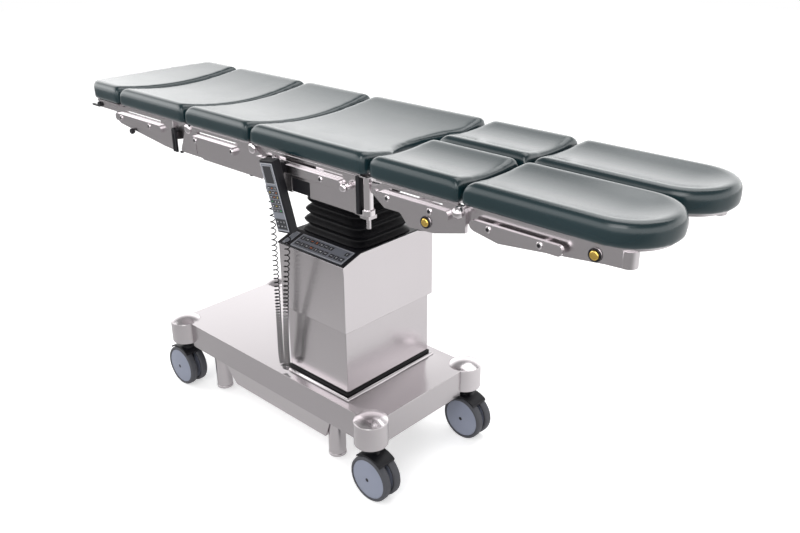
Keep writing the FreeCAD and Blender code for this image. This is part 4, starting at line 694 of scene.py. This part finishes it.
def key_row(shape, panel, start, pitch, size, base, symbols):
    """Dark keys in a row, each with a symbol of its own kind and one of three forms."""
    for i, kind in enumerate(symbols):
        spot = (start[0] + pitch * i, start[1])
        slab(shape, panel, spot, size, base, KEY_RISE, DARK)
        share = SYMBOL_SHARES[(i + round(start[1] * 1000)) % len(SYMBOL_SHARES)]
        symbol_size = (size[0] * share[0], size[1] * share[1])
        slab(shape, panel, spot, symbol_size, base + KEY_RISE, SYMBOL_RISE, kind)


def keypad(name, shape, body):
    thing = piece(name, shape, KEY_FINISHES[0], body, crease=KEY_CREASE)
    for finish in KEY_FINISHES[1:]:
        thing.data.materials.append(finish)
    soften_edges(thing, KEY_EDGE, 1)


# %% Keys of the hand control
HANDSET_CENTRE = Vector((-0.027, -0.270, 0.897))
HANDSET_SWING, HANDSET_LEAN = math.radians(-8), math.radians(7)
HANDSET_FACE = 0.0155
HAND_FRAME, FRAME_LINE = (0.049, 0.200), 0.0012
DISPLAY_SPOT, DISPLAY_SIZE, DISPLAY_LINE = (0, 0.068), (0.038, 0.052), 0.0008
BLOCK_SPOT, BLOCK_SIZE = (0, -0.080), (0.0455, 0.032)
HAND_KEY, HAND_KEYS_X, HAND_PITCH, HAND_ROW_PITCH = (0.0115, 0.0105), -0.014, 0.014, 0.0135
HAND_BLOCKS = [
    (0.029, [(PALE, ORANGE, PALE), (YELLOW, PALE, ORANGE), (PALE, ORANGE, YELLOW), (GREEN, PALE, PALE),
             (PALE, YELLOW, PALE), (PALE, PALE, GREEN)]),
    (-0.073, [(PALE, PALE, PALE), (PALE, PALE, PALE)]),
]
hand = (Matrix.Translation(HANDSET_CENTRE) @ Matrix.Rotation(HANDSET_SWING, 4, "Y")
        @ Matrix.Rotation(HANDSET_LEAN, 4, "X"))
hand_keys = bmesh.new()
outline(hand_keys, hand, (0, 0), HAND_FRAME, FRAME_LINE, HANDSET_FACE, PALE)
slab(hand_keys, hand, DISPLAY_SPOT, DISPLAY_SIZE, HANDSET_FACE, KEY_RISE, DARK)
slab(hand_keys, hand, BLOCK_SPOT, BLOCK_SIZE, HANDSET_FACE, SYMBOL_RISE, DARK)
outline(hand_keys, hand, DISPLAY_SPOT, DISPLAY_SIZE, DISPLAY_LINE, HANDSET_FACE + KEY_RISE, PALE)
for top, rows in HAND_BLOCKS:
    for row, symbols in enumerate(rows):
        start = (HAND_KEYS_X, top - HAND_ROW_PITCH * row)
        key_row(hand_keys, hand, start, HAND_PITCH, HAND_KEY, HANDSET_FACE, symbols)
keypad("handset_keys", hand_keys, BODY_OF["handset_body"])

# %% Keys of the column's cap
CAP_PITCH, CAP_KEY, CAP_END_KEY = 0.0205, (0.0170, 0.0150), (0.0150, 0.0150)
CAP_FRAME_SPOT, CAP_FRAME, CAP_FRAME_LINE = (0.020, 0.030), (0.218, 0.054), 0.0014
SMALL_FRAME_SPOT, SMALL_FRAME = (-0.116, 0.030), (0.020, 0.054)
CAP_ROWS = [
    ((-0.075, 0.043), CAP_KEY, (PALE, PALE, ORANGE, ORANGE, PALE, PALE, PALE)),
    ((-0.075, 0.018), CAP_KEY, (PALE, PALE, PALE, ORANGE, PALE, PALE, PALE)),
    ((0.074, 0.018), CAP_KEY, (PALE, PALE, PALE)),
    ((0.115, 0.043), CAP_END_KEY, (PALE,)),
]
panel_low, panel_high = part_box("control_overlay")
panel_slope = math.atan2(panel_high.z - panel_low.z - PANEL_SHEET, panel_high.y - panel_low.y)
cap_edge = Vector((0, panel_low.y + PANEL_SHEET * math.sin(panel_slope), panel_low.z))
cap = Matrix.Translation(cap_edge) @ Matrix.Rotation(panel_slope - math.pi / 2, 4, "X")
cap_keys = bmesh.new()
outline(cap_keys, cap, CAP_FRAME_SPOT, CAP_FRAME, CAP_FRAME_LINE, PANEL_SHEET, PALE)
for start, key_size, symbols in CAP_ROWS:
    key_row(cap_keys, cap, start, CAP_PITCH, key_size, PANEL_SHEET, symbols)
outline(cap_keys, cap, SMALL_FRAME_SPOT, SMALL_FRAME, FRAME_LINE, PANEL_SHEET, PALE)
keypad("cap_keys", cap_keys, BODY_OF["control_overlay"])
print("keys placed")

# %% [markdown]
# ## Light, floor and camera
# A white studio: the camera sees white all round, and the floor glows a little so that only a soft
# shadow shows. Polished metal would lose all form in an even white room. To reflected rays the sky is
# therefore bright low down and dark overhead, and the floor darkens towards the near side, where a real
# studio ends. The camera stands off the near foot corner and looks down at twenty-four degrees.

# %% Stage
STAGE_HALF = 12.0
FLOOR_GLOW = 0.55
FLOOR_LIT_Y, FLOOR_DARK_Y = 0.5, -1.5
FLOOR_TONE, MIRRORED_LIT, MIRRORED_DARK = 0.92, 0.66, 0.2
SKY_LIGHT, SKY_BRIGHT, SKY_DARK = 0.6, 2.0, 0.35
SKY_BRIGHT_HEIGHT, SKY_DARK_HEIGHT = 0.4, 0.66


def grey(level):
    return level, level, level, 1


floor_shape = bmesh.new()
bmesh.ops.create_grid(floor_shape, x_segments=1, y_segments=1, size=STAGE_HALF)
floor = placed("studio_floor", as_mesh("studio_floor", floor_shape))
floor_finish = Finish("Studio floor", Roughness=0.7, Specular_IOR_Level=0.2, Emission_Strength=FLOOR_GLOW)
fading = floor_finish.ramp(floor_finish.axis("Object", "Y"), FLOOR_LIT_Y, FLOOR_DARK_Y)
floor_mirrored = floor_finish.mix(fading, grey(MIRRORED_LIT), grey(MIRRORED_DARK))
floor_tone = floor_finish.mix(floor_finish.ray("Is Glossy Ray"), grey(FLOOR_TONE), floor_mirrored)
floor_finish.set(Base_Color=floor_tone, Emission_Color=floor_tone)
floor.data.materials.append(floor_finish.material)

world = bpy.data.worlds.new("studio")
bpy.context.scene.world = world
world.use_nodes = True
sky = Graph(world.node_tree)
height = sky.axis("Generated", "Z")
reflected = sky.mix(sky.ramp(height, SKY_BRIGHT_HEIGHT, SKY_DARK_HEIGHT), grey(SKY_BRIGHT), grey(SKY_DARK))
lit = sky.mix(sky.ray("Is Glossy Ray"), grey(SKY_LIGHT), reflected)
background = next(n for n in sky.tree.nodes if n.type == "BACKGROUND")
sky.feed(background.inputs["Color"], sky.mix(sky.ray("Is Camera Ray"), lit, grey(1.0)))


def lamp(name, place, target, size, power):
    light = bpy.data.lights.new(name, "AREA")
    light.shape, light.size, light.energy = "SQUARE", size, power
    thing = placed(name, light)
    thing.location = place
    thing.rotation_euler = (Vector(target) - Vector(place)).to_track_quat("-Z", "Y").to_euler()


lamp("key", place=(1.5, -3.2, 3.6), target=(0, 0, 0.7), size=2.4, power=60)
lamp("fill", place=(-3.4, -2.0, 2.6), target=(0, 0, 0.6), size=2.6, power=30)
lamp("top", place=(0.2, 1.6, 4.2), target=(0, 0, 0.8), size=3.0, power=70)

# %% Camera
CAMERA_PLACE = Vector((1.7536, -1.6706, 1.6716))
YAW, PITCH, ROLL = (math.radians(a) for a in (43.258, 23.905, -0.382))
FOCAL_LENGTH, SENSOR = 38.07, 36.0
back = Vector((math.sin(YAW) * math.cos(PITCH), -math.cos(YAW) * math.cos(PITCH), math.sin(PITCH)))
level = Vector((math.cos(YAW), math.sin(YAW), 0))
rise = back.cross(level)
right = math.cos(ROLL) * level + math.sin(ROLL) * rise
upward = math.cos(ROLL) * rise - math.sin(ROLL) * level
camera_data = bpy.data.cameras.new("camera")
camera_data.lens, camera_data.sensor_width = FOCAL_LENGTH, SENSOR
camera = placed("camera", camera_data)
camera.matrix_world = Matrix.Translation(CAMERA_PLACE) @ Matrix((right, upward, back)).transposed().to_4x4()
bpy.context.scene.camera = camera
bpy.context.scene.view_settings.view_transform = "Standard"
